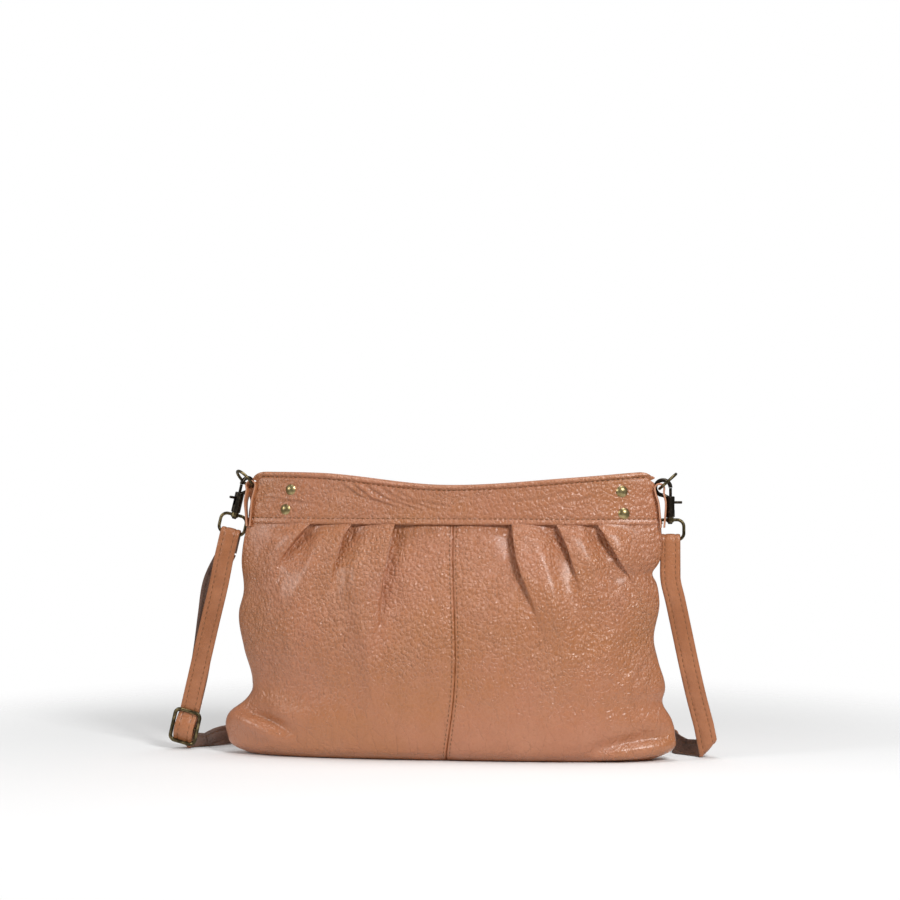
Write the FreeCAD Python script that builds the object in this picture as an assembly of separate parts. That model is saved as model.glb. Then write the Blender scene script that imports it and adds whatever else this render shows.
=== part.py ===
"""A soft leather crossbody bag with a pleated front, a zip top and a clip-on adjustable strap.

Millimetres. +X runs to the right as seen from the front, +Y to the back, +Z up.
The origin is the centre of the flat base that the bag stands on.
"""
import FreeCAD, Part
import math
import os

os.makedirs("parts", exist_ok=True)

V = FreeCAD.Vector

# Bag body: height, half width, half depth, the two powers that shape the plan outline, and the sideways lean
BODY_SECTIONS = [
    (0, 148, 23, 3.0, 0.62, -2.5),
    (5, 161, 30, 3.0, 0.62, -2.5),
    (12, 166, 33, 3.0, 0.63, -2.5),
    (22, 167.5, 35, 3.0, 0.65, -2.6),
    (40, 156.5, 36.5, 3.0, 0.65, 0.2),
    (60, 152.5, 37.5, 3.0, 0.65, 1.5),
    (85, 153.3, 37.5, 3.0, 0.67, -3.5),
    (115, 156.5, 34, 3.2, 0.72, -3.8),
    (145, 156, 25, 3.5, 0.82, -3.8),
    (174, 154.8, 15, 4.0, 1.0, 0),
]
BAND_BOTTOM = 174
BAND_TOP = 216
BAND_SECTIONS = [
    (BAND_BOTTOM, 155.6, 15.8, 4.0, 1.0, 0),
    (194, 151.6, 15.4, 4.0, 1.0, 0),
    (BAND_TOP, 147.2, 15.0, 4.0, 1.0, 0),
]
TOP_EDGE = [(-151, 213.6), (-105, 212.2), (-9, 203.2), (90, 208.6), (151, 213.6)]
OUTLINE_STEPS = 16

# How much an inset outline narrows per millimetre of inset, where its plan is rounded and where it is pointed
INSET_ROUNDED = 1.54
INSET_POINTED = 2.8
ROUNDED_ROOT = 0.62
POINTED_ROOT = 1.0

# A working space that reaches past the whole bag
FAR_X = 250
FAR_Y = 80
UNDER = -10
OVER = 230

# Thicknesses of the sewn layers, and the air between two of them
LEATHER = 2.0
BAND_THICKNESS = 3.0
FACING = 1.2
FACING_DROP = 1.5
LINING = 0.8
AIR = 0.2
SEWN_GAP = 0.05

# Slip pocket on the back lining
POCKET_HALF_WIDTH = 75
POCKET_Z = (45, 115)
POCKET_DEPTH = 9
POCKET_CLOTH = 0.8
POCKET_WALL = (30, 160)

# Rivets in the front band: x, z
RIVETS = [(-122.3, 199.5), (-126.4, 184.5), (126.4, 198.8), (127.9, 182.4)]
RIVET_RADIUS = 4.3
RIVET_DOME = 1.9
RIVET_POST_RADIUS = 1.4
RIVET_BACK_RADIUS = 3.6
RIVET_WASHER = 0.8
RIVET_SEAT = 0.3
RIVET_HOLE = (2, 9)
RIVET_HOLE_PLAY = 0.05

# Zip
ZIP_Z = 194
ZIP_HALF_LENGTH = 106
TOOTH_ROW = (2.3, 4.7)
TOOTH_HEIGHT = 2.2
TOOTH_PITCH = 3.0
TOOTH_NOTCH = (0.5, 1.5)
TAPE = 0.6
TAPE_FLANGE = 8
STOP_HALF_WIDTH = 3.6
STOP_LENGTH = 2.5
STOP_HALF_HEIGHT = 1.3
ZIP_SLIDER_X = 95
ZIP_SLIDER_LENGTH = 11
ZIP_PULL_LENGTH = 20
ZIP_PULL_HALF_WIDTH = 3.0
ZIP_PULL_HOLE = 0.66
ZIP_KNUCKLE = (1.9, 1.3)
ZIP_PIN = (3.2, 0.6)
ZIP_PLATE_HALF = 4.4
ZIP_PLATE = 1.2
ZIP_CORE_HALF = 1.9
ZIP_EAR = (2.2, 3.2)
ZIP_EAR_HALF_LENGTH = 1.6
ZIP_EAR_HEIGHT = 2.8

# Side tabs and their rings
TAB_Y = (-4.0, 2.5)
TAB_LEATHER = 1.4
TAB_LOOP_RADIUS = 2.8
TAB_LEG = 3.0
TAB_FOOT_X = 155.2
TAB_FOOT_Z = 171.5
TAB_GAP = 0.15
RING_RADIUS = 8.1
RING_WIRE = 1.1

# Snap hooks, each in its own frame: origin on the swivel axis at the base, +Z up the hook
BARREL_RADIUS = 3.5
BARREL_TOP = 15.5
BOLT_X = 0.4
BOLT_RADIUS = 1.1
BORE_RADIUS = 1.18
BOLT_BOTTOM = 8.8
BOLT_TRAVEL = 4.2
THUMB_RADIUS = 1.0
THUMB_Z = 11.0
THUMB_REACH = 9.0
JAW_RADIUS = 5.6
JAW_WIRE = 1.5
JAW_Z = 22.0
POST_RADIUS = 1.25
POST_CLEARANCE = 0.05
SPRING_WIRE = 0.2
SPRING_RADIUS = 0.85
SPRING_BOTTOM = 2.2
SPRING_PITCH = 1.1
POST_HEAD = (1.4, 2.1, 1.2)
RIM_FILLET = 0.6

# Swivel eyes: centreline size
EYE_WIDTH = 20.2
EYE_HEIGHT = 14.8
EYE_CORNER = 5.0
EYE_WIRE = 1.2
EYE_BOSS_RADIUS = 2.7
EYE_BOSS_HALF = 1.8
SWIVEL_GAP = 0.15

# Strap
STRAP_WIDTH = 15
STRAP_THICKNESS = 2.4
FOLD_RADIUS = 2.1
LEFT_FOLD_LEG = 14
RIGHT_FOLD_LEG = 28
RIGHT_DROP = [V(165.6, 4.0, 117), V(175.8, 8.5, 68), V(186.4, 14.5, 22)]
RIGHT_FOOT = V(190.4, 17.3, 0)
FLOOR_STEPS = 40
FLOOR_RUN = [
    (190.4, 18.8), (189.5, 28), (180, 38), (164, 50), (122, 84), (64, 110), (0, 120),
    (-64, 112), (-122, 86), (-168, 53), (-190, 40), (-208, 29.5), (-212.5, 21.0),
]

# Strap slider: centreline size
SLIDER_CENTRE = V(-209.5, 14.0, 17.0)
SLIDER_WIDTH = 19.6
SLIDER_HEIGHT = 25.1
SLIDER_CORNER = 4.0
SLIDER_WIRE = 1.45
SLIDER_BAR = 1.2
SLIDER_GAP = 0.35
STRAP_BEHIND = 3.1
LEFT_SLOPE = V(-0.2515, 0.117, -0.961)
LEFT_STRAIGHT = (94, -13.5)
LEFT_BOW = V(0.6, -0.6, 0)

# The strap's fixed end above the slider: how far up, how far left, how far behind the running strap
FIXED_END = [(112, 6.5, 3.4), (88, 4.2, 1.2), (64, 1.6, 0.2), (40, 0, 0), (18, 0, 0)]
FIXED_END_GAP = 0.5


def save(name, shape):
    """Writes one node."""
    shape.exportStep("parts/" + name + ".step")


def box(x, y, z):
    """A box from three (low, high) pairs."""
    return Part.makeBox(x[1] - x[0], y[1] - y[0], z[1] - z[0], V(x[0], y[0], z[0]))


def rod(start, end, radius):
    """A cylinder between two points."""
    axis = end.sub(start)
    return Part.makeCylinder(radius, axis.Length, start, axis)


# ---------------------------------------------------------------- bag body

def section_at(sections, z):
    """The section at height z, straight between its two neighbours."""
    for low, high in zip(sections, sections[1:]):
        if z <= high[0]:
            break
    share = (z - low[0]) / (high[0] - low[0])
    return tuple(a + share * (b - a) for a, b in zip(low, high))


def plan_outline(section, inset):
    """The closed plan outline of one section, pointed at the two side seams."""
    z, width, depth, power, root, shift = section
    pointed = (root - ROUNDED_ROOT) / (POINTED_ROOT - ROUNDED_ROOT)
    width -= inset * (INSET_ROUNDED + pointed * (INSET_POINTED - INSET_ROUNDED))
    depth -= inset
    front = []
    for i in range(OUTLINE_STEPS + 1):
        share = -math.cos(math.pi * i / OUTLINE_STEPS)
        bow = max(0.0, 1 - abs(share) ** power) ** root
        front.append(V(shift + share * width, -depth * bow, z))
    back = [V(p.x, -p.y, z) for p in reversed(front)]
    edges = []
    for points in (front, back):
        curve = Part.BSplineCurve()
        curve.interpolate(points)
        edges.append(curve.toShape())
    return Part.Wire(edges)


def hull(sections, inset, bottom, top):
    """A solid of the bag's outline, inset all round, between two heights."""
    inner = [s for s in sections if bottom + 0.5 < s[0] < top - 0.5]
    levels = [section_at(sections, bottom)] + inner + [section_at(sections, top)]
    return Part.makeLoft([plan_outline(s, inset) for s in levels], True, True)


def front_space(low=UNDER, high=OVER):
    """Everything in front of the side seams."""
    return box((-FAR_X, FAR_X), (-FAR_Y, 0), (low, high))


def back_space(low=UNDER, high=OVER):
    """Everything behind the side seams."""
    return box((-FAR_X, FAR_X), (0, FAR_Y), (low, high))


def above_top_edge(drop):
    """The space above the bag's sagging top edge, lowered by drop."""
    curve = Part.BSplineCurve()
    curve.interpolate([V(x, -FAR_Y, z - drop) for x, z in TOP_EDGE])
    first, last = curve.StartPoint, curve.EndPoint
    lid = [V(last.x, -FAR_Y, OVER), V(first.x, -FAR_Y, OVER)]
    lines = [Part.makeLine(last, lid[0]), Part.makeLine(lid[0], lid[1]), Part.makeLine(lid[1], first)]
    return Part.Face(Part.Wire([curve.toShape()] + lines)).extrude(V(0, 2 * FAR_Y, 0))


def leather_body():
    """The two front halves and the back, which also runs under the base."""
    inside = hull(BODY_SECTIONS, LEATHER, LEATHER, BAND_BOTTOM)
    shell = hull(BODY_SECTIONS, 0, 0, BAND_BOTTOM).cut(inside)
    above_base = shell.common(front_space(LEATHER))
    save("front_panel_left", above_base.common(box((-FAR_X, 0), (-FAR_Y, 0), (UNDER, OVER))))
    save("front_panel_right", above_base.common(box((0, FAR_X), (-FAR_Y, 0), (UNDER, OVER))))
    back = shell.common(back_space())
    base = shell.common(front_space(UNDER, LEATHER))
    save("back_panel", back.fuse(base).removeSplitter())


def band_layer(outer, inner, bottom, drop):
    """The layer of the bag's top between two insets, up to the top edge lowered by drop."""
    ring = hull(BAND_SECTIONS, outer, bottom, BAND_TOP).cut(hull(BAND_SECTIONS, inner, bottom, BAND_TOP))
    return ring.cut(above_top_edge(drop))


def rivet_frame(x, z):
    """Where a rivet sits on the front band, and which way it points."""
    _, width, depth, power, _, _ = section_at(BAND_SECTIONS, z)
    share = abs(x) / width
    slope = math.copysign(depth * power * share ** (power - 1) / width, x)
    outward = V(slope, -1, 0).normalize()
    return V(x, -depth * (1 - share ** power), z), outward


def rivet(place, outward):
    """One rivet: the hole that it needs, its domed head, and its post with the washer behind."""
    depth = BAND_THICKNESS + AIR + FACING + RIVET_SEAT
    hole_start = place.add(outward * RIVET_HOLE[0])
    hole_end = place.sub(outward * RIVET_HOLE[1])
    hole = rod(hole_start, hole_end, RIVET_POST_RADIUS + RIVET_HOLE_PLAY)
    ball_radius = (RIVET_RADIUS ** 2 + RIVET_DOME ** 2) / (2 * RIVET_DOME)
    ball = Part.makeSphere(ball_radius, place.add(outward * (RIVET_DOME + RIVET_SEAT - ball_radius)))
    seat = place.add(outward * RIVET_SEAT)
    dome = ball.common(rod(seat, seat.add(outward * 2 * RIVET_DOME), RIVET_RADIUS))
    foot = place.sub(outward * depth)
    back = foot.sub(outward * RIVET_WASHER)
    post = rod(seat, back, RIVET_POST_RADIUS).fuse(rod(foot, back, RIVET_BACK_RADIUS))
    return hole, dome, post.removeSplitter()


def top_band():
    """The plain band, its zip facings, and the rivets through the front."""
    band = band_layer(0, BAND_THICKNESS, BAND_BOTTOM, 0)
    inner = BAND_THICKNESS + AIR
    facing = band_layer(inner, inner + FACING, BAND_BOTTOM, FACING_DROP)
    front = band.common(front_space())
    front_facing = facing.common(front_space())
    caps = []
    backs = []
    for x, z in RIVETS:
        hole, dome, post = rivet(*rivet_frame(x, z))
        caps.append(dome)
        backs.append(post)
        front = front.cut(hole)
        front_facing = front_facing.cut(hole)
    save("top_band_front", front)
    save("top_band_back", band.common(back_space()))
    save("zip_facing_front", front_facing)
    save("zip_facing_back", facing.common(back_space()))
    save("rivet_caps", Part.makeCompound(caps))
    save("rivet_posts", Part.makeCompound(backs))


def lining():
    """The cloth bag inside, in two halves, and the slip pocket on its back."""
    skin = LEATHER + AIR
    inside = skin + LINING
    top = BAND_BOTTOM - 1
    cloth = hull(BODY_SECTIONS, skin, skin, top).cut(hull(BODY_SECTIONS, inside, inside, top))
    save("lining_front", cloth.common(front_space()))
    save("lining_back", cloth.common(back_space()))
    near = inside + SEWN_GAP
    far = near + POCKET_DEPTH
    outer_box = box((-POCKET_HALF_WIDTH, POCKET_HALF_WIDTH), (0, FAR_Y), POCKET_Z)
    reach = POCKET_HALF_WIDTH - POCKET_CLOTH
    inner_box = box((-reach, reach), (0, FAR_Y), (POCKET_Z[0] + POCKET_CLOTH, POCKET_WALL[1]))
    pouch = hull(BODY_SECTIONS, near, *POCKET_WALL).cut(hull(BODY_SECTIONS, far, *POCKET_WALL))
    room = hull(BODY_SECTIONS, near - 1, *POCKET_WALL)
    room = room.cut(hull(BODY_SECTIONS, far - POCKET_CLOTH, *POCKET_WALL)).common(inner_box)
    save("inner_pocket", pouch.common(outer_box).cut(room))


# ---------------------------------------------------------------- zip

def tooth_row(side):
    """One row of teeth on its beaded edge, notched on the inner side."""
    low, high = sorted(side * v for v in TOOTH_ROW)
    z = (ZIP_Z - TOOTH_HEIGHT / 2, ZIP_Z + TOOTH_HEIGHT / 2)
    row = box((-ZIP_HALF_LENGTH, ZIP_HALF_LENGTH), (low, high), z)
    edge = side * TOOTH_ROW[0]
    bite = sorted((edge - side * TOOTH_NOTCH[0], edge + side * TOOTH_NOTCH[1]))
    count = int(2 * ZIP_HALF_LENGTH / TOOTH_PITCH)
    gaps = []
    for i in range(count):
        x = -ZIP_HALF_LENGTH + (i + 0.5) * TOOTH_PITCH
        gaps.append(box((x, x + TOOTH_PITCH / 2), bite, (z[0] - 1, z[1] + 1)))
    return row.cut(Part.makeCompound(gaps))


def tape(side):
    """A zip tape: a web out from the teeth and a flange down the facing."""
    space = front_space() if side < 0 else back_space()
    near = BAND_THICKNESS + AIR + FACING + SEWN_GAP
    core = hull(BAND_SECTIONS, near, BAND_BOTTOM, BAND_TOP).common(space)
    hollow = hull(BAND_SECTIONS, near + TAPE, BAND_BOTTOM, BAND_TOP)
    ends = (-ZIP_HALF_LENGTH, ZIP_HALF_LENGTH)
    top = ZIP_Z + TAPE / 2
    web = box(ends, sorted((side * TOOTH_ROW[1], side * FAR_Y)), (ZIP_Z - TAPE / 2, top))
    flange = core.cut(hollow).common(box(ends, (-FAR_Y, FAR_Y), (ZIP_Z - TAPE_FLANGE, top)))
    return web.common(core).fuse(flange).removeSplitter()


def zip_stops():
    """The single stop at the closed end and the two small ones at the open end."""
    z = (ZIP_Z - STOP_HALF_HEIGHT, ZIP_Z + STOP_HALF_HEIGHT)
    near = ZIP_HALF_LENGTH + 0.1
    far = near + STOP_LENGTH
    stops = [box((near, far), (-STOP_HALF_WIDTH, STOP_HALF_WIDTH), z)]
    for side in (-1, 1):
        y = sorted((side * STOP_HALF_WIDTH / 2, side * STOP_HALF_WIDTH))
        stops.append(box((-far, -near), y, z))
    return Part.makeCompound(stops)


def upright_edges(shape):
    """The edges of a shape that run straight up."""
    return [e for e in shape.Edges if abs(e.tangentAt(0).z) > 0.9]


def zip_slider(face, bail_z, pin_z):
    """The slider: two plates on a core, and two ears that hold the pull's pin."""
    half = ZIP_SLIDER_LENGTH / 2
    x = (ZIP_SLIDER_X - half, ZIP_SLIDER_X + half)
    slider = box(x, (-ZIP_CORE_HALF, ZIP_CORE_HALF), (ZIP_Z - face - 0.2, ZIP_Z + face + 0.2))
    for sign in (-1, 1):
        z = sorted((ZIP_Z + sign * face, ZIP_Z + sign * (face + ZIP_PLATE)))
        plate = box(x, (-ZIP_PLATE_HALF, ZIP_PLATE_HALF), z)
        slider = slider.fuse(plate.makeFillet(1.5, upright_edges(plate)))
    ear_x = (ZIP_SLIDER_X - ZIP_EAR_HALF_LENGTH, ZIP_SLIDER_X + ZIP_EAR_HALF_LENGTH)
    for sign in (-1, 1):
        ear_y = sorted(sign * v for v in ZIP_EAR)
        slider = slider.fuse(box(ear_x, ear_y, (bail_z - 0.1, bail_z + ZIP_EAR_HEIGHT)))
    reach, radius = ZIP_PIN
    pin = rod(V(ZIP_SLIDER_X, -reach, pin_z), V(ZIP_SLIDER_X, reach, pin_z), radius)
    return slider.fuse(pin).removeSplitter()


def zip_pull(pin_z):
    """The pull tab, hanging on the slider's pin and lying towards the middle of the zip."""
    half, radius = ZIP_KNUCKLE
    z = (pin_z - 0.1, pin_z + 1.1)
    knuckle = rod(V(ZIP_SLIDER_X, -half, pin_z), V(ZIP_SLIDER_X, half, pin_z), radius)
    hole = rod(V(ZIP_SLIDER_X, -2 * half, pin_z), V(ZIP_SLIDER_X, 2 * half, pin_z), ZIP_PULL_HOLE)
    neck = box((ZIP_SLIDER_X - 7.5, ZIP_SLIDER_X - 0.9), (-1.6, 1.6), z)
    tab_x = (ZIP_SLIDER_X - ZIP_PULL_LENGTH, ZIP_SLIDER_X - 7)
    tab = box(tab_x, (-ZIP_PULL_HALF_WIDTH, ZIP_PULL_HALF_WIDTH), z)
    tab = tab.makeFillet(1.8, upright_edges(tab))
    return knuckle.fuse(neck).fuse(tab).removeSplitter().cut(hole)


def zip_fastener():
    """Teeth, tapes, stops, slider and pull. The zip stands open, so its two rows lie apart."""
    for name, side in (("front", -1), ("back", 1)):
        save("zip_teeth_" + name, tooth_row(side))
        save("zip_tape_" + name, tape(side))
    save("zip_stops", zip_stops())
    face = TOOTH_HEIGHT / 2 + 0.3
    bail_z = ZIP_Z + face + ZIP_PLATE
    pin_z = bail_z + 1.5
    save("zip_slider", zip_slider(face, bail_z, pin_z))
    save("zip_pull", zip_pull(pin_z))


# ---------------------------------------------------------------- placing

def frame_matrix(origin, x_axis, y_axis, z_axis):
    """The placement that carries the local axes onto the given ones."""
    m = FreeCAD.Matrix(x_axis.x, y_axis.x, z_axis.x, origin.x,
                       x_axis.y, y_axis.y, z_axis.y, origin.y,
                       x_axis.z, y_axis.z, z_axis.z, origin.z,
                       0, 0, 0, 1)
    return m


def placed(shape, matrix):
    """A copy of the shape carried into a frame."""
    copy = shape.copy()
    copy.transformShape(matrix)
    return copy


class Side:
    """One side's hardware: where the ring turns, how it leans, and how the hook hangs from it."""

    def __init__(self, name, sign, fold, ring_lean, ring_twist, hook_lean, hook_turn, eye):
        self.name = name
        self.sign = sign
        self.fold = fold
        lean = math.radians(ring_lean)
        twist = math.radians(ring_twist)
        self.ring_out = V(sign * math.cos(lean), 0, math.sin(lean))
        low = V(sign * math.sin(lean), 0, -math.cos(lean))
        self.ring_axis = V(0, math.cos(twist), 0).add(low * math.sin(twist))
        tilt = math.radians(hook_lean)
        self.up = V(-sign * math.sin(tilt), 0, math.cos(tilt))
        self.across = V(math.cos(tilt), 0, sign * math.sin(tilt))
        self.eye = eye
        turn = math.radians(hook_turn)
        self.hook_x = (self.across * math.cos(turn)).add(V(0, 1, 0) * math.sin(turn))

    def ring_frame(self):
        """The ring's frame: x away from the fold, y along the fold."""
        return frame_matrix(self.fold, self.ring_out, self.ring_axis, self.ring_out.cross(self.ring_axis))

    def hanger_frame(self, z_offset):
        """The eye's frame, moved up its own axis."""
        origin = self.eye.add(self.up * z_offset)
        return frame_matrix(origin, self.across, self.up.cross(self.across), self.up)

    def hook_frame(self):
        """The hook's frame, turned on its swivel."""
        origin = self.eye.add(self.up * (EYE_HEIGHT / 2 + EYE_BOSS_HALF + SWIVEL_GAP))
        return frame_matrix(origin, self.hook_x, self.up.cross(self.hook_x), self.up)


LEFT = Side("left", -1, V(-153.6, 0, 201.8), 44, 25, 13.4, -126, V(-169.7, 3.3, 173.0))
RIGHT = Side("right", 1, V(153.9, 0, 200.8), 42, 0, 0.3, 1, V(161.6, 5.2, 170.2))


# ---------------------------------------------------------------- side hardware

def side_tab(side):
    """A strip folded round the ring, with both ends sewn in under the band's end."""
    leg_top = side.fold.add(V(-side.sign * 0.4, 0, -2.0))
    outer_top = V(leg_top.x + side.sign * (TAB_LOOP_RADIUS + TAB_LEATHER - 0.6), 0, leg_top.z)
    inner_top = V(outer_top.x - side.sign * TAB_LEG, 0, leg_top.z)
    foot_x = side.sign * TAB_FOOT_X
    inner_foot = V(foot_x, 0, TAB_FOOT_Z)
    outer_foot = V(foot_x + side.sign * TAB_LEG, 0, TAB_FOOT_Z)
    corners = [inner_top, outer_top, outer_foot, inner_foot, inner_top]
    leg = Part.Face(Part.makePolygon([p.add(V(0, TAB_Y[0], 0)) for p in corners]))
    leg = leg.extrude(V(0, TAB_Y[1] - TAB_Y[0], 0))
    start = side.fold.add(side.ring_axis * TAB_Y[0])
    end = side.fold.add(side.ring_axis * TAB_Y[1])
    roll = rod(start, end, TAB_LOOP_RADIUS + TAB_LEATHER)
    reach = side.ring_axis * 6
    hole = rod(side.fold.sub(reach), side.fold.add(reach), TAB_LOOP_RADIUS)
    tab = leg.fuse(roll).removeSplitter().cut(hole)
    band = hull(BAND_SECTIONS, -TAB_GAP, BAND_BOTTOM, BAND_TOP)
    body = hull(BODY_SECTIONS, -TAB_GAP, TAB_FOOT_Z - 20, BAND_BOTTOM)
    return tab.cut(band).cut(body)


def ring():
    """A round ring whose wire's centreline passes through the origin, lying along +X."""
    return Part.makeTorus(RING_RADIUS, RING_WIRE, V(RING_RADIUS, 0, 0), V(0, 0, 1))


def hook_body():
    """The barrel with its jaw and swivel post."""
    barrel = rod(V(0, 0, 0), V(0, 0, BARREL_TOP), BARREL_RADIUS)
    rims = [e for e in barrel.Edges if e.Closed and len(e.Vertexes) == 1]
    barrel = barrel.makeFillet(RIM_FILLET, rims)
    centre = V(BOLT_X - JAW_RADIUS, 0, JAW_Z)
    jaw = Part.makeTorus(JAW_RADIUS, JAW_WIRE, centre, V(0, 1, 0))
    room = JAW_RADIUS + 2 * JAW_WIRE
    opening = box((centre.x, centre.x + room), (-room, room), (JAW_Z - room, JAW_Z))
    jaw = jaw.cut(opening)
    neck = rod(V(centre.x, 0, JAW_Z - JAW_RADIUS), V(0, 0, BARREL_TOP - 1.7), JAW_WIRE)
    body = barrel.fuse(jaw).fuse(neck)
    post_bottom = -(2 * EYE_BOSS_HALF + 2 * SWIVEL_GAP)
    post = rod(V(0, 0, 0.5), V(0, 0, post_bottom - 0.1), POST_RADIUS)
    head = Part.makeCone(*POST_HEAD, V(0, 0, post_bottom - POST_HEAD[2]), V(0, 0, 1))
    body = body.fuse(post).fuse(head).removeSplitter()
    bore = rod(V(BOLT_X, 0, SPRING_BOTTOM - 0.2), V(BOLT_X, 0, BARREL_TOP + 2.4), BORE_RADIUS)
    low = THUMB_Z - BOLT_TRAVEL - THUMB_RADIUS - 0.3
    high = THUMB_Z + THUMB_RADIUS + 0.3
    half = THUMB_RADIUS + 0.12
    slot = box((BOLT_X, 2 * BARREL_RADIUS), (-half, half), (low, high))
    return body.cut(bore).cut(slot)


def hook_bolt():
    """The sliding bolt that closes the jaw, with its thumb pin."""
    bolt = rod(V(BOLT_X, 0, BOLT_BOTTOM), V(BOLT_X, 0, JAW_Z - 0.25), BOLT_RADIUS)
    pin = rod(V(BOLT_X, 0, THUMB_Z), V(THUMB_REACH, 0, THUMB_Z), THUMB_RADIUS)
    rims = [e for e in pin.Edges if e.Closed and e.CenterOfMass.x > THUMB_REACH - 0.1]
    return bolt.fuse(pin.makeFillet(RIM_FILLET, rims)).removeSplitter()


def hook_spring():
    """The coil spring under the bolt."""
    height = BOLT_BOTTOM - SPRING_BOTTOM - 2 * SPRING_WIRE - 0.1
    helix = Part.makeHelix(SPRING_PITCH, height, SPRING_RADIUS)
    circle = Part.Wire(Part.makeCircle(SPRING_WIRE, V(SPRING_RADIUS, 0, 0), V(0, 1, 0)))
    coil = Part.Wire(helix).makePipeShell([circle], True, True)
    coil.translate(V(BOLT_X, 0, SPRING_BOTTOM + SPRING_WIRE + 0.05))
    return coil


def rounded_frame(width, height, corner, wire):
    """A closed round-wire frame with rounded corners, in the XZ plane, about the origin."""
    x = width / 2 - corner
    z = height / 2 - corner
    pieces = []
    for sx in (-1, 1):
        pieces.append(rod(V(sx * width / 2, 0, -z), V(sx * width / 2, 0, z), wire))
        for sz in (-1, 1):
            bend = Part.makeTorus(corner, wire, V(sx * x, 0, sz * z), V(0, 1, 0))
            corner_x = sorted((sx * x, sx * (x + corner + 2 * wire)))
            corner_z = sorted((sz * z, sz * (z + corner + 2 * wire)))
            pieces.append(bend.common(box(corner_x, (-5, 5), corner_z)))
    for sz in (-1, 1):
        pieces.append(rod(V(-x, 0, sz * height / 2), V(x, 0, sz * height / 2), wire))
    return pieces[0].multiFuse(pieces[1:]).removeSplitter()


def swivel_eye():
    """The oval eye that the strap goes through, with the boss that the post turns in."""
    eye = rounded_frame(EYE_WIDTH, EYE_HEIGHT, EYE_CORNER, EYE_WIRE)
    low = V(0, 0, EYE_HEIGHT / 2 - EYE_BOSS_HALF)
    high = V(0, 0, EYE_HEIGHT / 2 + EYE_BOSS_HALF)
    hole = rod(low.sub(V(0, 0, 2)), high.add(V(0, 0, 2)), POST_RADIUS + POST_CLEARANCE)
    return eye.fuse(rod(low, high, EYE_BOSS_RADIUS)).removeSplitter().cut(hole)


def side_hardware():
    """Tab, ring, hook, bolt, spring and eye on each side."""
    for side in (LEFT, RIGHT):
        save(side.name + "_tab", side_tab(side))
        save(side.name + "_tab_ring", placed(ring(), side.ring_frame()))
        frame = side.hook_frame()
        save(side.name + "_hook_body", placed(hook_body(), frame))
        save(side.name + "_hook_bolt", placed(hook_bolt(), frame))
        save(side.name + "_hook_spring", placed(hook_spring(), frame))
        save(side.name + "_swivel_eye", placed(swivel_eye(), side.hanger_frame(0)))


# ---------------------------------------------------------------- strap

def strap_fold(leg):
    """The strap folded over the eye's lower bar: the bar's centre is the origin, both legs hang down."""
    outer = FOLD_RADIUS + STRAP_THICKNESS
    half = STRAP_WIDTH / 2
    roll = rod(V(-half, 0, 0), V(half, 0, 0), outer)
    roll = roll.common(box((-half, half), (-outer, outer), (0, outer)))
    legs = box((-half, half), (-outer, outer), (-leg, 0))
    inside = rod(V(-half - 1, 0, 0), V(half + 1, 0, 0), FOLD_RADIUS)
    slot = box((-half - 1, half + 1), (-FOLD_RADIUS, FOLD_RADIUS), (-leg - 1, 0))
    return roll.fuse(legs).removeSplitter().cut(inside).cut(slot)


def strip_section(centre, across, through):
    """The strap's cross-section as a closed wire."""
    a = across * (STRAP_WIDTH / 2)
    b = through * (STRAP_THICKNESS / 2)
    corners = [centre.sub(a).sub(b), centre.add(a).sub(b), centre.add(a).add(b), centre.sub(a).add(b)]
    return Part.makePolygon(corners + corners[:1])


def level_section(centre, across, through):
    """A section cut level with the table, where the strap ends on it."""
    flat_across = V(across.x, across.y, 0).normalize()
    flat_through = V(-flat_across.y, flat_across.x, 0)
    if flat_through.dot(through) < 0:
        flat_through = flat_through.negative()
    return strip_section(centre, flat_across, flat_through)


def bar_point(side, out):
    """A point on a fold's leg: out from the eye's lower bar along the strap's thickness."""
    return side.eye.sub(side.up * (EYE_HEIGHT / 2)).add(V(0, out, 0))


def right_strap():
    """The sewn loop on the right eye and the strap down to the table."""
    side = RIGHT
    save("strap_right_loop", placed(strap_fold(RIGHT_FOLD_LEG), side.hanger_frame(-EYE_HEIGHT / 2)))
    leg_y = -(FOLD_RADIUS + STRAP_THICKNESS / 2)
    start = bar_point(side, leg_y).sub(side.up * RIGHT_FOLD_LEG)
    down = side.up.negative()
    centres = [start] + RIGHT_DROP + [RIGHT_FOOT]
    stations = [(start, side.across, down)]
    for before, centre, after in zip(centres, centres[1:], centres[2:]):
        travel = after.sub(before)
        across = V(-travel.z, 0, travel.x)
        stations.append((centre, across, travel))
    wires = []
    for centre, across, travel in stations:
        across = V(across).normalize()
        wires.append(strip_section(centre, across, V(travel).cross(across).normalize()))
    wires.append(level_section(RIGHT_FOOT, V(1, 0, 0), V(0, 1, 0)))
    save("strap_right_drop", Part.makeLoft(wires, True, True))


def left_frame():
    """Slider axes: across the strap, out of its face, and up along it."""
    up = V(LEFT_SLOPE).normalize().negative()
    across = V(up.z, 0, -up.x).normalize()
    return across, up.cross(across), up


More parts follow.
